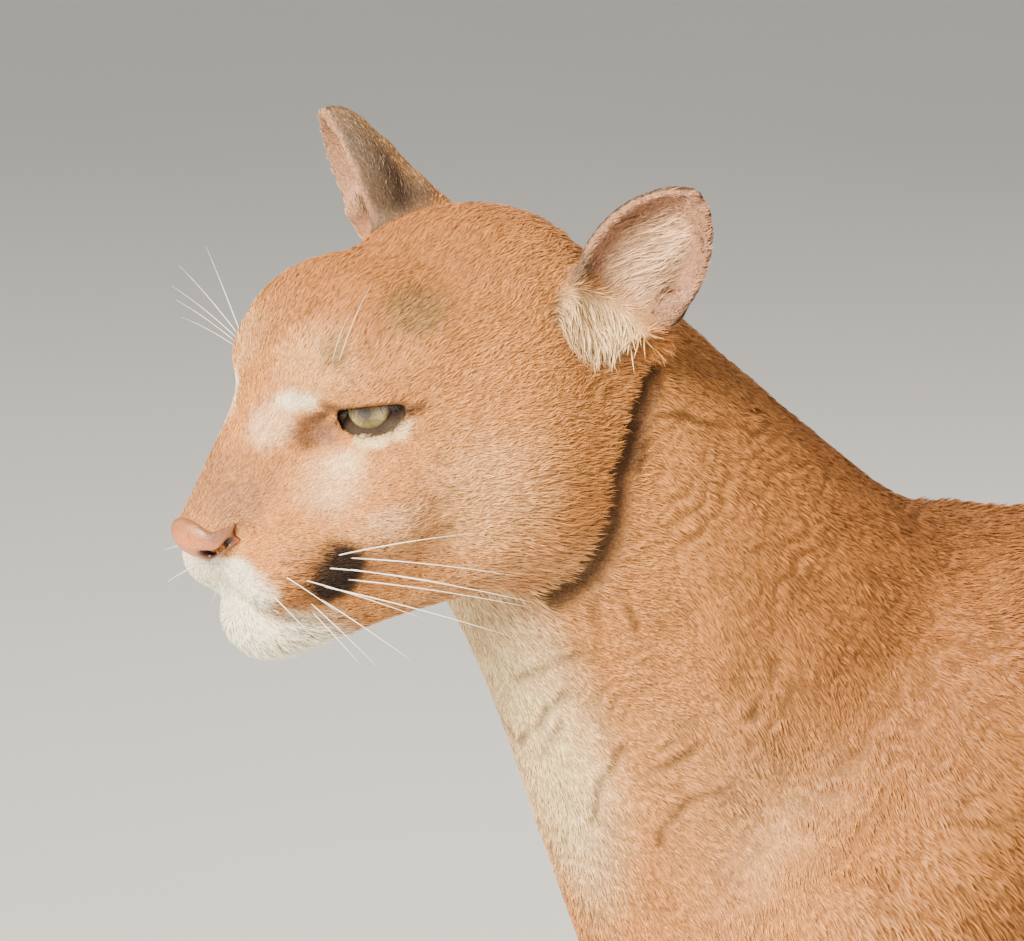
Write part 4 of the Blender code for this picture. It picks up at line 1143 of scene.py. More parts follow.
class Region(Enum):
    """The coat's pieces: name, number of tufts, and seed."""

    FACE_LEFT = ("coat_face_left", 66000, 1)
    CHEEK_LEFT = ("coat_cheek_left", 60000, 11)
    HEAD_RIGHT = ("coat_head_right", 56000, 2)
    NECK_LEFT = ("coat_neck_left", 66000, 3)
    NECK_RIGHT = ("coat_neck_right", 40000, 4)
    CHEST = ("coat_chest", 60000, 5)
    BARREL = ("coat_barrel", 34000, 6)
    RUMP = ("coat_rump", 34000, 7)
    FORELEGS = ("coat_forelegs", 36000, 8)
    HIND_LEGS = ("coat_hind_legs", 34000, 9)
    TAIL = ("coat_tail", 14000, 10)


@dataclass
class Fur:
    """The coat as joined tufts: thin pointed blades rooted in the skin that follow the lie of the hair."""

    skin: Skin
    coat: Coat = field(default_factory=Coat)
    clump: float = 0.35

    def region_of(self, middle: Array) -> Array:
        """For each triangle's middle, the number of the region that it belongs to."""
        head = in_head_frame(middle)
        number = {region: k for k, region in enumerate(Region)}
        on_head = self.coat.head_share(middle) > HEAD_FROM
        left = middle[:, 0] > 0
        on_neck = (middle[:, 1] < -37) & (middle[:, 2] > 50)
        low = middle[:, 2] < 36
        hind = (middle[:, 1] > 8) & (middle[:, 1] < 58)
        tail = (middle[:, 1] > 46) & (np.abs(middle[:, 0]) < 5.5)
        hock = (np.abs(middle[:, 0]) > 4.2) & (middle[:, 1] < 58) & (middle[:, 2] < 40)
        where = np.full(len(middle), number[Region.BARREL])
        for within, region in (
            (middle[:, 1] < -20, Region.CHEST),
            (middle[:, 1] > 14, Region.RUMP),
            (on_neck & left, Region.NECK_LEFT),
            (on_neck & ~left, Region.NECK_RIGHT),
            (on_head & (head[:, 0] > 0), Region.FACE_LEFT),
            (on_head & (head[:, 0] > 0) & (head[:, 1] > -5), Region.CHEEK_LEFT),
            (on_head & (head[:, 0] <= 0), Region.HEAD_RIGHT),
            (low & (middle[:, 1] < -20), Region.FORELEGS),
            (low & hind, Region.HIND_LEGS),
            (tail & ~hock, Region.TAIL),
        ):
            where[within] = number[region]
        return where

    def roots(self, faces: Array, count: int, rng: np.random.Generator) -> tuple[Array, Array]:
        """Random places on the skin, closer together where the tufts are smaller.

        Args:
            faces: the region's triangles.
            count: how many places.
            rng: the region's own random numbers.
        Returns:
            Places and their normals.
        """
        corners = self.skin.points[faces]
        area = np.linalg.norm(np.cross(corners[:, 1] - corners[:, 0], corners[:, 2] - corners[:, 0]), axis=1)
        middle_normal = unit(self.skin.point_normals[faces].sum(1))
        size = self.coat.style(corners.mean(1), middle_normal)
        mirror = mirrored(in_head_frame(corners.mean(1)))
        rims = np.maximum(self.coat.lid_share(mirror), 0.9 * self.coat.lip_share(mirror))
        bare = np.maximum(1 - ramp(leather(mirror), 0.0, 0.08), ramp(rims, 0.5, 0.8))
        bare = np.maximum(bare, 0.9 * self.coat.crease_share(mirror))
        weight = (1 - bare) * area / (size[:, 0] ** 0.8 * size[:, 1])
        pick = np.searchsorted(np.cumsum(weight) / weight.sum(), rng.random(count)).clip(0, len(faces) - 1)
        a, b = rng.random(count), rng.random(count)
        flip = a + b > 1
        a[flip], b[flip] = 1 - a[flip], 1 - b[flip]
        share = np.column_stack((1 - a - b, a, b))[:, :, None]
        return (corners[pick] * share).sum(1), unit((self.skin.point_normals[faces[pick]] * share).sum(1))

    def gathered(self, tips: Array, roots: Array, size: Array, strength: Array) -> Array:
        """Tips drawn towards the mean tip of their clump, where a clump is the tufts rooted in one cell."""
        warped = roots + 0.5 * np.column_stack([waves(roots, 1.7, 70 + k) for k in range(3)]) * size[:, None]
        cell = np.floor(warped / size[:, None]).astype(np.int64)
        key = (cell[:, 0] * 73856093) ^ (cell[:, 1] * 19349663) ^ (cell[:, 2] * 83492791)
        _, inverse = np.unique(key, return_inverse=True)
        inverse = inverse.ravel()
        total = np.stack([np.bincount(inverse, tips[:, axis]) for axis in range(3)], 1)
        mean = total / np.bincount(inverse)[:, None]
        pull = mean[inverse] - tips
        far = np.linalg.norm(pull, axis=1)
        pull *= (np.minimum(far, size) / (far + 1e-9))[:, None]
        return tips + strength[:, None] * pull

    def unwrap(self, region: Region, places: Array) -> Array:
        """Each place on a flat unwrap of its piece: the angle about its line, and the way along it."""
        if region in (Region.FACE_LEFT, Region.CHEEK_LEFT, Region.HEAD_RIGHT):
            head = in_head_frame(places) - (0, -3, -1)
            angle = np.abs(np.arctan2(head[:, 0], head[:, 2])) / math.pi
            along = np.arccos(np.clip(unit(head)[:, 1], -1, 1)) / math.pi
        elif region is Region.TAIL:
            line = tail_line()[:, :3]
            gap = places[:, None] - line[None]
            nearest = np.argmin((gap**2).sum(2), axis=1)
            away = places - line[nearest]
            angle = np.arctan2(away[:, 0], away[:, 1] + away[:, 2]) / (2 * math.pi) + 0.5
            along = (nearest + 0.5) / len(line)
        elif region in (Region.FORELEGS, Region.HIND_LEGS):
            side = np.sign(places[:, 0])
            left, right = (places[places[:, 0] > 0, 1].mean(), places[places[:, 0] <= 0, 1].mean())
            middle = np.where(side > 0, left, right)
            turn = np.arctan2(places[:, 1] - middle, places[:, 0] - 8 * side) / (2 * math.pi) + 0.5
            angle = 0.5 * turn + np.where(side > 0, 0.5, 0)
            along = places[:, 2] / 45
        else:
            angle = np.arctan2(places[:, 0], places[:, 2] - 54) / (2 * math.pi) + 0.5
            low, high = places[:, 1].min(), places[:, 1].max()
            along = (places[:, 1] - low) / (high - low)
        return np.column_stack((angle, along)).clip(PATCH_SIZE, 1 - PATCH_SIZE)

    def piece(self, region: Region, faces: Array) -> bpy.types.Object:
        """One coat piece. A tuft is a quad and a triangle: sunk root, bent middle, pointed tip."""
        name, count, seed = region.value
        rng = np.random.default_rng(seed)
        roots, normals = self.roots(faces, count, rng)
        style = self.coat.style(roots, normals)
        length = style[:, 0] * rng.uniform(0.65, 1.2, count)
        width = style[:, 1] * rng.uniform(0.7, 1.3, count)
        lie = self.coat.flow(roots, normals)
        across = np.cross(normals, lie)
        turn = rng.normal(0, 0.13, count) + 0.2 * waves(roots, 2.6, 31) + 0.1 * waves(roots, 0.8, 32)
        lie = lie * np.cos(turn)[:, None] + across * np.sin(turn)[:, None]
        ripple = self.coat.ripple(roots)
        lift = style[:, 2] * rng.uniform(0.6, 1.4, count) + 0.1 * np.clip(ripple, -1, 1)
        roots = roots + normals * (0.06 * ripple - 0.12 * self.coat.fold_share(roots))[:, None]
        rise = normals * (lift * length)[:, None]
        middle = roots + lie * (0.5 * length)[:, None] + 0.62 * rise
        tips = roots + lie * (0.97 * length)[:, None] + 0.85 * rise
        shaggy = np.clip((length - 0.5) / 2.0, 0, 1)
        tips = self.gathered(tips, roots, 0.25 + 0.45 * length * self.clump * 2, 0.25 + 0.4 * shaggy)
        roll = rng.normal(0, 0.45, count)
        side = unit(np.cross(normals, tips - roots))
        side = side * np.cos(roll)[:, None] + normals * np.sin(roll)[:, None]
        half = side * (width / 2)[:, None]
        sunk = roots - normals * TUFT_SUNK
        points = np.stack((sunk - half, sunk + half, middle + 0.8 * half, middle - 0.8 * half, tips), 1)
        points[..., 2] = np.maximum(points[..., 2], SHIFT[2] + FLOOR_GAP)
        start = np.arange(count)[:, None] * 5
        triangles = np.stack((start + (0, 1, 2), start + (0, 2, 3), start + (3, 2, 4)), 1).reshape(-1, 3)
        obj = new_object(name, points.reshape(-1, 3), triangles)
        base = self.coat.colour(roots, normals)
        own = base * rng.normal(1, 0.13, (count, 1))
        ticked = (rng.random(count) < TICKED_SHARE)[:, None] * (base.mean(1, keepdims=True) < 0.45)
        # Painted shade and light along each tuft: a darker root and a paler tip, and painted shade from the
        # neck's ripples and folds at the root, middle and tip.
        low, mid, end = (self.coat.shade(place)[:, None] for place in (roots, middle, tips))
        root = own * low * ROOT_SHADE_TONE
        tip = own * end * TIP_LIGHT_TONE * (1 - 0.5 * ticked)
        shades = np.stack((root, root, own * mid, own * mid, tip), 1)
        give_colours(obj, shades.reshape(-1, 3).clip(0.004, 0.95))
        place = self.unwrap(region, roots)
        patch = np.array(((-0.5, -0.5), (0.5, -0.5), (0.4, 0.1), (-0.4, 0.1), (0, 0.5))) * PATCH_SIZE
        flat = (place[:, None] + patch[None]).reshape(-1, 2)
        layer = obj.data.uv_layers.new(name="OFBake")
        layer.data.foreach_set("uv", flat[triangles.ravel()].astype(np.float32).ravel())
        return obj

    def build(self) -> list[bpy.types.Object]:
        """Every coat piece."""
        faces = self.skin.faces
        where = self.region_of(self.skin.points[faces].mean(1))
        made = []
        for number, region in enumerate(Region):
            made.append(self.piece(region, faces[where == number]))
        return made


def tubes(name: str, paths: Array, radii: Array, sides: int = 5) -> bpy.types.Object:
    """Many tapered tubes in one mesh: a ring of points about each point of each path.

    Args:
        name: the piece's name.
        paths: tubes x steps x 3, body frame.
        radii: tubes x steps.
        sides: points in a ring.
    Returns:
        The object.
    """
    count, steps, _ = paths.shape
    along = unit(np.gradient(paths, axis=1))
    first = unit(np.cross(along, np.array((0.31, 0.17, 0.93))))
    second = np.cross(along, first)
    angle = np.arange(sides) * 2 * math.pi / sides
    ring = first[:, :, None] * np.cos(angle)[:, None] + second[:, :, None] * np.sin(angle)[:, None]
    points = (paths[:, :, None] + ring * radii[:, :, None, None]).reshape(-1, 3)
    tube, step, k = (part.ravel() for part in np.meshgrid(
        np.arange(count), np.arange(steps - 1), np.arange(sides), indexing="ij"))
    base = tube * steps * sides + step * sides
    after = (k + 1) % sides
    quads = np.stack((base + k, base + after, base + sides + after, base + sides + k), 1)
    wall = np.concatenate((quads[:, [0, 1, 2]], quads[:, [0, 2, 3]]))
    ends = []
    for step, order in ((0, (0, 2, 1)), (steps - 1, (0, 1, 2))):
        ring_start = np.arange(count) * steps * sides + step * sides
        for k in range(1, sides - 1):
            ends.append((ring_start[:, None] + np.array((0, k, k + 1)))[:, order])
    return new_object(name, points, np.concatenate([wall] + ends))


@dataclass
class Eye:
    """An eyeball turned about its gaze: white, a clear bulge over the iris, and a round pupil."""

    side: int
    white: float = 1.36
    iris: float = 0.98
    bulge: float = 1.45
    rings: int = 40
    spokes: int = 64

    def build(self) -> bpy.types.Object:
        """Radius over the angle t from the gaze: white, rising to bulge as a cosine within the iris."""
        edge = math.asin(self.iris / self.white)
        t = np.concatenate((np.linspace(0.02, edge, 24), np.linspace(edge, math.pi - 0.02, self.rings)[1:]))
        radius = self.white + (self.bulge - self.white) * ramp(t, edge * 1.15, 0.0)
        gaze = unit(np.array(GAZE) * (self.side, 1, 1))
        first = unit(np.cross(gaze, (0, 0, 1)))
        second = np.cross(first, gaze)
        angle = np.arange(self.spokes) * 2 * math.pi / self.spokes
        ring = first * np.cos(angle)[:, None] + second * np.sin(angle)[:, None]
        shell = gaze * (radius * np.cos(t))[:, None, None] + ring[None] * (radius * np.sin(t))[:, None, None]
        poles = np.stack((gaze * radius[0], -gaze * radius[-1]))
        points = np.concatenate((shell.reshape(-1, 3), poles)) + np.array(EYE_AT) * (self.side, 1, 1)
        rows, columns = np.arange(len(t) - 1), np.arange(self.spokes)
        i, k = (part.ravel() for part in np.meshgrid(rows, columns, indexing="ij"))
        a, b = i * self.spokes + k, i * self.spokes + (k + 1) % self.spokes
        next_a, next_b = a + self.spokes, b + self.spokes
        wall = np.concatenate((np.stack((a, next_a, b), 1), np.stack((b, next_a, next_b), 1)))
        k = np.arange(self.spokes)
        after = (k + 1) % self.spokes
        last = (len(t) - 1) * self.spokes
        front = np.stack((np.full_like(k, shell.size // 3), k, after), 1)
        back = np.stack((np.full_like(k, shell.size // 3 + 1), last + after, last + k), 1)
        obj = new_object("left_eyeball" if self.side > 0 else "right_eyeball", from_head_frame(points),
                         np.concatenate((wall, front, back)))
        out = np.sin(t) * radius / self.iris * np.where(t > 1.6, 9, 1)
        ring_share = np.concatenate((np.repeat(out, self.spokes), (0.0, 9.0)))
        turn = np.concatenate((np.tile(angle, len(t)), (0.0, 0.0)))
        values = np.column_stack((ring_share, 0.5 + 0.5 * np.cos(turn), 0.5 + 0.5 * np.sin(turn)))
        give_colours(obj, values, "ring")
        return obj


@dataclass
class NoseLeather:
    """The bare nose: the animal's own shape where the leather is, very fine."""

    cell: float = 0.07

    def colour(self, head: Array) -> Array:
        """Orange-brown, tinted by its marks, near black in the nostrils as painted shade, and duller at its
        edge.
        """
        mirror = mirrored(head)
        found = np.tile(LEATHER, (len(head), 1))
        for mark in NOSE_MARKS:
            found += mark.share(mirror)[:, None] * (mark.value - found)
        slit = np.min([cut.outside(mirror) for cut in NOSTRIL], axis=0)
        edge = 0.4 * ramp(leather(mirror), -0.25, 0.0)
        # Painted shade: the nostrils' holes are coloured near black.
        found += (0.97 * (1 - ramp(slit, 0.0, 0.14)))[:, None] * (BLACK * 0.3 - found)
        return found * (1 - edge)[:, None]

    def build(self) -> bpy.types.Object:
        """Meshes what the head and the leather's own region have in common."""
        shape = Animal()
        low = np.array((-2.6, -18.2, -5.4))
        counts = 4 * np.ceil(np.array((5.2, 4.6, 5.0)) / (4 * self.cell)).astype(int) + 1

        def both(points: Array) -> Array:
            """Head and leather together, in the head frame."""
            return meet(shape.head(points) + 0.02, leather(mirrored(points)), 0.1)

        mesher = Mesher()
        points, quads = mesher.surface(both, tuple(low), tuple(counts), self.cell)
        points = mesher.settle(both, points, 0.05)
        obj = new_object("nose_leather", from_head_frame(points), quads)
        give_colours(obj, self.colour(points))
        return obj


@dataclass
class Bristles:
    """Whiskers, brow whiskers and lashes, each a long tapered tube that bows under its own weight."""

    steps: int = 12

    def paths(self, roots: Array, ways: Array, lengths: Array, droop: float) -> Array:
        """Each path: root + way * s * length, less droop * s^2 * length in z, all in the head frame."""
        s = np.linspace(0, 1, self.steps)[None, :, None]
        fall = np.array((0, 0, -1.0)) * droop
        return from_head_frame(roots[:, None] + ways[:, None] * lengths[:, None, None] * s
                               + fall * lengths[:, None, None] * s**2)

    def whiskers(self) -> bpy.types.Object:
        """The long ones from the dark patch, and shorter ones before and below it, swept out and back."""
        rng = np.random.default_rng(11)
        rows = (
            ((4.9, -11.5, -3.9), (0.80, 0.60, 0.08), 6.5), ((5.0, -11.0, -4.3), (0.83, 0.55, -0.12), 7.5),
            ((4.7, -11.0, -5.0), (0.84, 0.50, -0.20), 8.7), ((4.3, -11.0, -5.6), (0.84, 0.51, -0.19), 8.4),
            ((4.5, -11.9, -4.4), (0.84, 0.50, -0.12), 6.0), ((4.0, -12.1, -5.5), (0.85, 0.46, -0.26), 9.0),
            ((3.6, -12.2, -6.2), (0.84, 0.24, -0.49), 5.0), ((3.9, -12.9, -4.6), (0.86, 0.42, -0.28), 5.5),
            ((3.3, -12.6, -6.2), (0.80, 0.15, -0.58), 4.2), ((2.9, -12.4, -6.7), (0.80, 0.09, -0.60), 3.2),
            ((3.5, -13.6, -4.2), (0.88, 0.10, -0.30), 3.2), ((3.0, -14.1, -4.9), (0.86, -0.05, -0.42), 2.6),
        )
        roots, ways, lengths = [], [], []
        for side in (1, -1):
            for root, way, length in rows:
                roots.append(np.array(root) * (side, 1, 1))
                ways.append(unit(np.array(way) * (side, 1, 1) + rng.normal(0, 0.025, 3)))
                lengths.append(length)
        roots = self.on_skin(np.array(roots))
        paths = self.paths(roots, np.array(ways), np.array(lengths), 0.06)
        return tubes("whiskers", paths, self.taper(len(paths), 0.032))

    def brow(self) -> bpy.types.Object:
        """A few long hairs over each eye."""
        rng = np.random.default_rng(12)
        roots, ways, lengths = [], [], []
        for side in (1, -1):
            for number in range(5):
                roots.append((side * (3.0 + 0.35 * number), -9.6 + 0.25 * number, 4.1 + 0.1 * number))
                ways.append(unit(np.array((side * 0.5, -0.62 + 0.2 * number, 0.75)) + rng.normal(0, 0.08, 3)))
                lengths.append(3.2 + 0.5 * number)
        roots = self.on_skin(np.array(roots))
        paths = self.paths(roots, np.array(ways), np.array(lengths), 0.15)
        return tubes("brow_whiskers", paths, self.taper(len(paths), 0.02))

    def lashes(self) -> bpy.types.Object:
        """Short dark hairs along each upper lid, hanging over the eye."""
        rng = np.random.default_rng(13)
        gaze = unit(GAZE)
        across = unit(np.array((0.62, 0.76, -0.06)) - (np.array((0.62, 0.76, -0.06)) @ gaze) * gaze)
        upward = np.cross(gaze, across)
        upward = upward if upward[2] > 0 else -upward
        angle = np.radians(rng.uniform(-48, 52, 150))
        lid = EYE_RADIUS + 0.1
        height = math.sin(math.radians(UPPER_LID + 7))
        around = gaze * np.cos(angle)[:, None] + across * np.sin(angle)[:, None]
        rise = (height * np.cos(angle) ** 0.7)[:, None] * upward
        roots = np.array(EYE_AT) + unit(around + rise) * lid
        ways = unit(around * 0.75 - upward * 0.6 + across * 0.2 + rng.normal(0, 0.1, (150, 3)))
        lengths = rng.uniform(0.4, 0.75, 150)
        both = [self.paths(roots * (s, 1, 1), ways * (s, 1, 1), lengths, 0.2) for s in (1, -1)]
        paths = np.concatenate(both)
        return tubes("lashes", paths, self.taper(len(paths), 0.014), 3)

    def on_skin(self, roots: Array) -> Array:
        """Head-frame roots moved on to the head's surface and a little in."""
        shape = Animal()
        return Mesher().settle(lambda points: shape.head(points) + 0.12, roots, 1.5, 4)

    def taper(self, count: int, thick: float) -> Array:
        """Radii that fall from thick at the root to a fine tip."""
        s = np.linspace(0, 1, self.steps)
        return np.tile(thick * (1 - 0.9 * s**1.3), (count, 1))


@dataclass
class Claws:
    """The tips of the drawn-in claws, one at each toe: a curved horn that narrows to a blunt point."""

    length: float = 1.3
    thick: float = 0.26

    def build(self) -> bpy.types.Object:
        """Each path curves forwards and down by a quarter circle from under the toe's front."""
        paths = []
        for side in (1, -1):
            for x, y, size in ((FORE_PAW_X, FORE_PAW_Y[side] - 1.0, FORE_PAW_SIZE),
                               (HIND_PAW_X, HIND_PAW_Y[side] - 0.5, HIND_PAW_SIZE)):
                for toe_x, toe_y in TOES:
                    s = np.linspace(0, 1, 7)
                    at = np.array((side * x + toe_x * size, y + (toe_y - 1.55) * size, 1.75 * size))
                    forward, drop = self.length * np.sin(1.3 * s), 0.75 * (1 - np.cos(1.3 * s))
                    bend = np.column_stack((0 * s, -forward, -drop))
                    paths.append(at + bend)
        paths = np.array(paths)
        radii = np.tile(self.thick * (1 - 0.8 * np.linspace(0, 1, 7) ** 1.4), (len(paths), 1))
        return tubes("claws", paths, radii, 8)


@dataclass(frozen=True)
class Finish:
    """A material made of nodes. Constants stand on the shader's own sockets."""

    name: str
    roughness: float
    specular: float = 0.4
    sheen: float = 0.0
    coat: float = 0.0

    def start(self) -> tuple[bpy.types.Material, bpy.types.NodeTree, bpy.types.Node]:
        """A material with its tree and its shader."""
        material = bpy.data.materials.new(self.name)
        material.use_nodes = True
        tree = material.node_tree
        shader = tree.nodes["Principled BSDF"]
        shader.inputs["Roughness"].default_value = self.roughness
        shader.inputs["Specular IOR Level"].default_value = self.specular
        shader.inputs["Sheen Weight"].default_value = self.sheen
        shader.inputs["Sheen Roughness"].default_value = 0.4
        shader.inputs["Coat Weight"].default_value = self.coat
        shader.inputs["Coat Roughness"].default_value = 0.03
        return material, tree, shader

    def node(self, tree: bpy.types.NodeTree, kind: str, **values: object) -> bpy.types.Node:
        """A node with some of its inputs set, by socket name with _ for a space."""
        made = tree.nodes.new(kind)
        for key, value in values.items():
            made.inputs[key.replace("_", " ")].default_value = value
        return made

    def noise(
        self, tree: bpy.types.NodeTree, scale: float, stretch: Vector = (1, 1, 1)
    ) -> bpy.types.NodeSocket:
        """Noise on Object coordinates, stretched by a Mapping node."""
        place = tree.nodes.new("ShaderNodeTexCoord")
        mapping = self.node(tree, "ShaderNodeMapping", Scale=stretch)
        tree.links.new(place.outputs["Object"], mapping.inputs["Vector"])
        noise = self.node(tree, "ShaderNodeTexNoise", Scale=scale, Detail=4.0)
        tree.links.new(mapping.outputs["Vector"], noise.inputs["Vector"])
        return noise.outputs["Fac"]

    def mixed(self, tree: bpy.types.NodeTree, first: object, second: object, share: object,
              kind: str = "MIX") -> bpy.types.NodeSocket:
        """Two colours mixed. Each of the three is a socket or a value."""
        mix = tree.nodes.new("ShaderNodeMix")
        mix.data_type = "RGBA"
        mix.blend_type = kind
        for socket, value in ((mix.inputs[6], first), (mix.inputs[7], second), (mix.inputs[0], share)):
            if isinstance(value, bpy.types.NodeSocket):
                tree.links.new(value, socket)
            else:
                socket.default_value = value
        return mix.outputs[2]

    def stops(
        self, tree: bpy.types.NodeTree, share: bpy.types.NodeSocket, rows: tuple
    ) -> bpy.types.NodeSocket:
        """A colour ramp through rows of place and colour."""
        made = tree.nodes.new("ShaderNodeValToRGB")
        band = made.color_ramp
        while len(band.elements) < len(rows):
            band.elements.new(0.5)
        for element, (place, colour) in zip(band.elements, rows):
            element.position = place
            element.color = (*colour, 1)
        tree.links.new(share, made.inputs["Fac"])
        return made.outputs["Color"]

    def bump(self, tree: bpy.types.NodeTree, shader: bpy.types.Node, height: bpy.types.NodeSocket,
             distance: float, strength: float) -> None:
        """Bump from a height."""
        made = self.node(tree, "ShaderNodeBump", Distance=distance, Strength=strength)
        tree.links.new(height, made.inputs["Height"])
        tree.links.new(made.outputs["Normal"], shader.inputs["Normal"])


class CoatFinish(Finish):
    """Hair: the coat_colour attribute, with fine streaks and a soft sheen."""

    def make(self) -> bpy.types.Material:
        """The material."""
        material, tree, shader = self.start()
        colour = self.node(tree, "ShaderNodeAttribute")
        colour.attribute_name = "coat_colour"
        grain = self.stops(tree, self.noise(tree, 260.0), ((0.3, (0.8, 0.79, 0.77)), (0.7, (1.1, 1.1, 1.1))))
        tinted = self.mixed(tree, colour.outputs["Color"], grain, 1.0, "MULTIPLY")
        tree.links.new(tinted, shader.inputs["Base Color"])
        return material


class SkinFinish(Finish):
    """The short under-fur: the same colours, darker in fine pits, with bump."""

    def make(self) -> bpy.types.Material:
        """The material."""
        material, tree, shader = self.start()
        colour = self.node(tree, "ShaderNodeAttribute")
        colour.attribute_name = "coat_colour"
        fine = self.noise(tree, 900.0)
        grain = self.stops(tree, fine, ((0.35, (0.6, 0.58, 0.55)), (0.65, (1.05, 1.05, 1.05))))
        tinted = self.mixed(tree, colour.outputs["Color"], grain, 1.0, "MULTIPLY")
        tree.links.new(tinted, shader.inputs["Base Color"])
        self.bump(tree, shader, fine, 0.001, 0.6)
        return material


class NoseFinish(Finish):
    """Bare leather: orange-pink with dark edges and pores, over small pebbles."""

    def make(self) -> bpy.types.Material:
        """The material."""
        material, tree, shader = self.start()
        place = tree.nodes.new("ShaderNodeTexCoord")
        cells = self.node(tree, "ShaderNodeTexVoronoi", Scale=900.0)
        tree.links.new(place.outputs["Object"], cells.inputs["Vector"])
        soft = self.noise(tree, 130.0)
        base = self.stops(tree, soft, ((0.3, (0.8, 0.76, 0.74)), (0.7, (1.1, 1.08, 1.05))))
        rows = ((0.0, (1.05, 1.05, 1.05)), (0.75, (0.72, 0.66, 0.64)))
        pores = self.stops(tree, cells.outputs["Distance"], rows)
        grain = self.mixed(tree, base, pores, 1.0, "MULTIPLY")
        colour = self.node(tree, "ShaderNodeAttribute")
        colour.attribute_name = "coat_colour"
        tinted = self.mixed(tree, colour.outputs["Color"], grain, 1.0, "MULTIPLY")
        tree.links.new(tinted, shader.inputs["Base Color"])
        self.bump(tree, shader, cells.outputs["Distance"], -0.0004, 0.5)
        return material


class EyeFinish(Finish):
    """White, iris and pupil by the ring attribute, with spokes of noise in the iris."""

    def make(self) -> bpy.types.Material:
        """The material."""
        material, tree, shader = self.start()
        ring = self.node(tree, "ShaderNodeAttribute")
        ring.attribute_name = "ring"
        parts = tree.nodes.new("ShaderNodeSeparateColor")
        tree.links.new(ring.outputs["Color"], parts.inputs["Color"])
        spokes = self.node(tree, "ShaderNodeCombineXYZ")
        tree.links.new(parts.outputs["Green"], spokes.inputs["X"])
        tree.links.new(parts.outputs["Blue"], spokes.inputs["Y"])
        noise = self.node(tree, "ShaderNodeTexNoise", Scale=16.0, Detail=3.0)
        tree.links.new(spokes.outputs["Vector"], noise.inputs["Vector"])
        streak = self.stops(tree, noise.outputs["Fac"], ((0.3, (0.62, 0.6, 0.55)), (0.7, (1.2, 1.18, 1.1))))
        half = self.node(tree, "ShaderNodeMath")
        half.operation = "MULTIPLY"
        half.inputs[1].default_value = 0.5
        tree.links.new(parts.outputs["Red"], half.inputs[0])
        rows = (
            (0.135, (0.004, 0.004, 0.004)),           # pupil
            (0.155, tuple(tone(104, 86, 52))),        # iris, from its inner edge
            (0.26, tuple(tone(146, 130, 88))),
            (0.41, tuple(tone(198, 184, 132))),
            (0.47, tuple(tone(124, 106, 70))),
            (0.5, tuple(tone(38, 28, 20))),           # dark edge of the iris
            (0.56, tuple(tone(60, 44, 36))),          # white, which is brown in the open slit
            (0.75, tuple(tone(112, 86, 74))),
        )
        colour = self.stops(tree, half.outputs["Value"], rows)
        tree.links.new(self.mixed(tree, colour, streak, 1.0, "MULTIPLY"), shader.inputs["Base Color"])
        return material


class HornFinish(Finish):
    """Claw horn or whisker: one of two tones along noise."""

    def make(self, dark: Array, pale: Array, stretch: Vector = (1, 1, 1)) -> bpy.types.Material:
        """The material, from its darker and its paler tone."""
        material, tree, shader = self.start()
        noise = self.noise(tree, 60.0, stretch)
        colour = self.stops(tree, noise, ((0.35, tuple(dark)), (0.65, tuple(pale))))
        tree.links.new(colour, shader.inputs["Base Color"])
        return material


class FloorFinish(Finish):
    """A plain pale floor with a faint soft mottle."""

    def make(self) -> bpy.types.Material:
        """The material."""
        material, tree, shader = self.start()
        noise = self.noise(tree, 1.5)
        colour = self.stops(tree, noise, ((0.3, (0.70, 0.69, 0.67)), (0.7, (0.74, 0.73, 0.71))))
        tree.links.new(colour, shader.inputs["Base Color"])
        return material


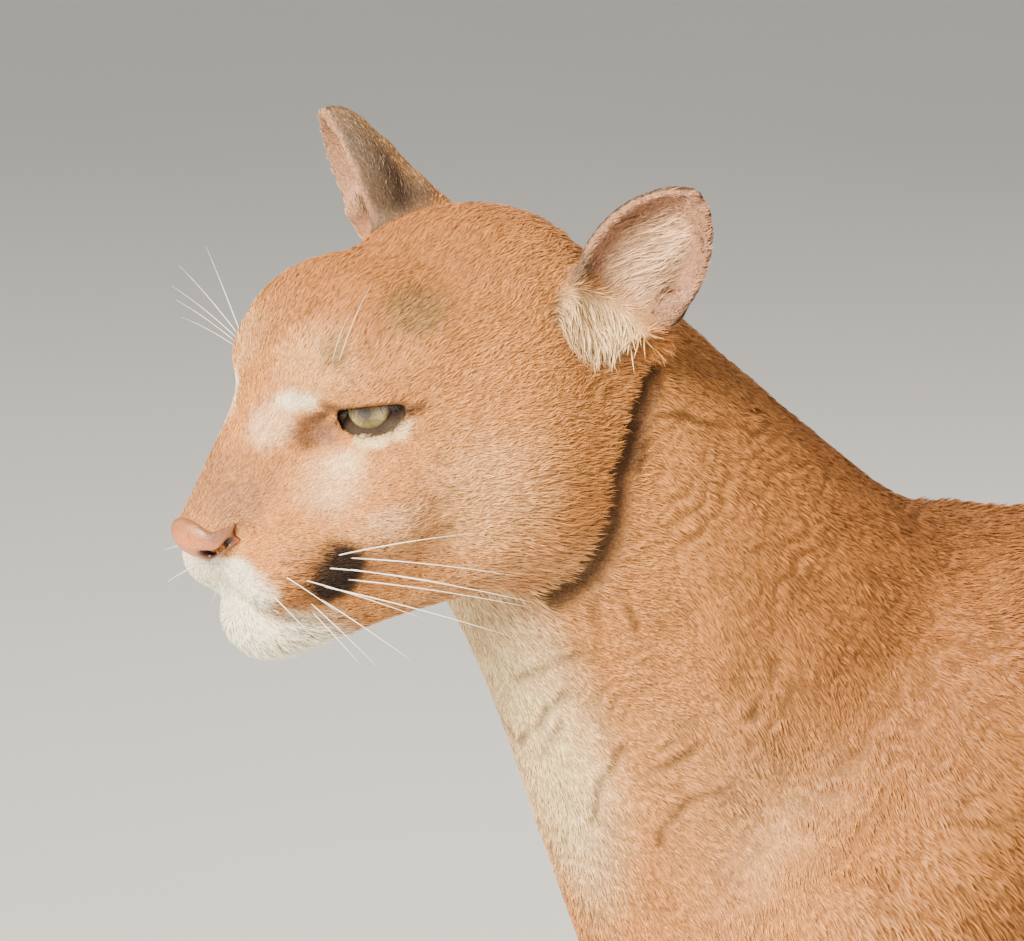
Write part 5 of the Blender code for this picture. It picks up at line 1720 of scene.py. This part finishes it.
@dataclass
class Studio:
    """Floor, lights and the camera, which looks at the head from its left front, a little from above."""

    azimuth: float = 62.0
    elevation: float = 14.0
    pixels_per_cm: float = 22.5
    away: float = 450.0
    aim: Vector = (4.0, -7.6, 1.3)
    aim_pixel: tuple[float, float] = (367.0, 411.0)
    width: int = 1024
    height: int = 941

    def axes(self) -> Array:
        """Rows: the picture's right, up, and back towards the camera, in the body frame."""
        a, e = math.radians(self.azimuth), math.radians(self.elevation)
        back = np.array((math.sin(a) * math.cos(e), -math.cos(a) * math.cos(e), math.sin(e)))
        right = np.array((math.cos(a), math.sin(a), 0.0))
        return np.stack((right, np.cross(back, right), back))

    def camera(self) -> None:
        """Places the camera so that the aim's pixel and scale are as in the photograph."""
        right, up, back = self.axes()
        shift_x = (self.width / 2 - self.aim_pixel[0]) / self.pixels_per_cm
        shift_y = (self.aim_pixel[1] - self.height / 2) / self.pixels_per_cm
        target = from_head_frame(np.array(self.aim)) + right * shift_x + up * shift_y
        data = bpy.data.cameras.new("camera")
        data.sensor_width = 36.0
        data.lens = 36.0 * self.away * self.pixels_per_cm / self.width
        data.clip_end = 60.0
        obj = bpy.data.objects.new("camera", data)
        rows = np.eye(4)
        rows[:3, :3] = np.stack((right, up, back), 1)
        rows[:3, 3] = (target + back * self.away - SHIFT) * METRE
        obj.matrix_world = Matrix(rows.tolist())
        bpy.context.collection.objects.link(obj)
        bpy.context.scene.camera = obj

    def light(self, name: str, azimuth: float, elevation: float, size: float, watts: float, tint: Vector,
              mirrored_in_eyes: bool = False) -> None:
        """A square lamp that faces the head from two and a half metres."""
        a, e = math.radians(azimuth), math.radians(elevation)
        back = np.array((math.sin(a) * math.cos(e), -math.cos(a) * math.cos(e), math.sin(e)))
        right = np.array((math.cos(a), math.sin(a), 0.0))
        data = bpy.data.lights.new(name, "AREA")
        data.size = size
        data.energy = watts
        data.color = tint
        obj = bpy.data.objects.new(name, data)
        rows = np.eye(4)
        rows[:3, :3] = np.stack((right, np.cross(back, right), back), 1)
        rows[:3, 3] = (np.array((0, -40, 60.0)) + back * 250 - SHIFT) * METRE
        obj.matrix_world = Matrix(rows.tolist())
        obj.visible_glossy = mirrored_in_eyes
        bpy.context.collection.objects.link(obj)

    def build(self) -> None:
        """Camera, three lamps, a pale sky and the floor."""
        self.camera()
        self.light("key", 22, 32, 1.0, 250, (1.0, 0.91, 0.76), True)
        self.light("fill", 100, 20, 3.0, 20, (1.0, 0.95, 0.88))
        self.light("rim", 230, 40, 2.0, 60, (1.0, 0.94, 0.85))
        world = bpy.data.worlds.new("studio")
        world.use_nodes = True
        sky = world.node_tree.nodes["Background"]
        sky.inputs["Color"].default_value = (0.9, 0.89, 0.86, 1)
        sky.inputs["Strength"].default_value = 0.5
        bpy.context.scene.world = world
        corners = np.array(((-900, -900, 0), (900, -900, 0), (900, 900, 0), (-900, 900, 0)), float)
        floor = new_object("floor", corners + SHIFT * (1, 1, 0), np.array(((0, 1, 2, 3),)), False)
        floor.data.materials.append(FloorFinish("floor", 0.6, 0.3).make())


@dataclass
class Cougar:
    """The whole model: each piece built, dressed, set on the body and named for what it stands for."""

    EYES = ("left_eye", "right_eye")

    def keep(self, obj: bpy.types.Object, material: bpy.types.Material, nodes: tuple = ()) -> None:
        """Dresses a piece, sets it on the body and hides the solids that it stands for."""
        obj.data.materials.append(material)
        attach(obj, "root")
        if nodes:
            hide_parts(*nodes)
        log.info("%s: %d faces", obj.name, len(obj.data.polygons))

    def build(self) -> None:
        """Builds every piece in order."""
        nodes = [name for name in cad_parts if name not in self.EYES + ("nose",)]
        skin = Skin()
        self.keep(skin.build(), SkinFinish("under_fur", 0.7, 0.25).make(), tuple(nodes))
        hair = CoatFinish("hair", 0.55, 0.22, 0.03).make()
        for piece in Fur(skin).build():
            self.keep(piece, hair)
        eye = EyeFinish("eye", 0.25, 0.5, 0.0, 1.0).make()
        for side, node in ((1, "left_eye"), (-1, "right_eye")):
            self.keep(Eye(side).build(), eye, (node,))
        nose = NoseLeather().build()
        self.keep(nose, NoseFinish("nose_leather", 0.42, 0.45, 0.0, 0.15).make(), ("nose",))
        bristles = Bristles()
        pale = HornFinish("whisker", 0.35, 0.5).make(tone(226, 214, 196), tone(248, 242, 230))
        self.keep(bristles.whiskers(), pale)
        self.keep(bristles.brow(), pale)
        dark = HornFinish("lash", 0.4, 0.4).make(tone(40, 30, 24), tone(70, 54, 42))
        self.keep(bristles.lashes(), dark)
        horn = HornFinish("claw", 0.3, 0.5).make(tone(120, 104, 88), tone(206, 192, 170), (1, 1, 3))
        self.keep(Claws().build(), horn)


def main() -> None:
    """Builds the model and the studio."""
    logging.basicConfig(level=logging.INFO, format="%(name)s %(message)s")
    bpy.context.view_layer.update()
    Cougar().build()
    Studio().build()


if __name__ == "__main__":
    main()
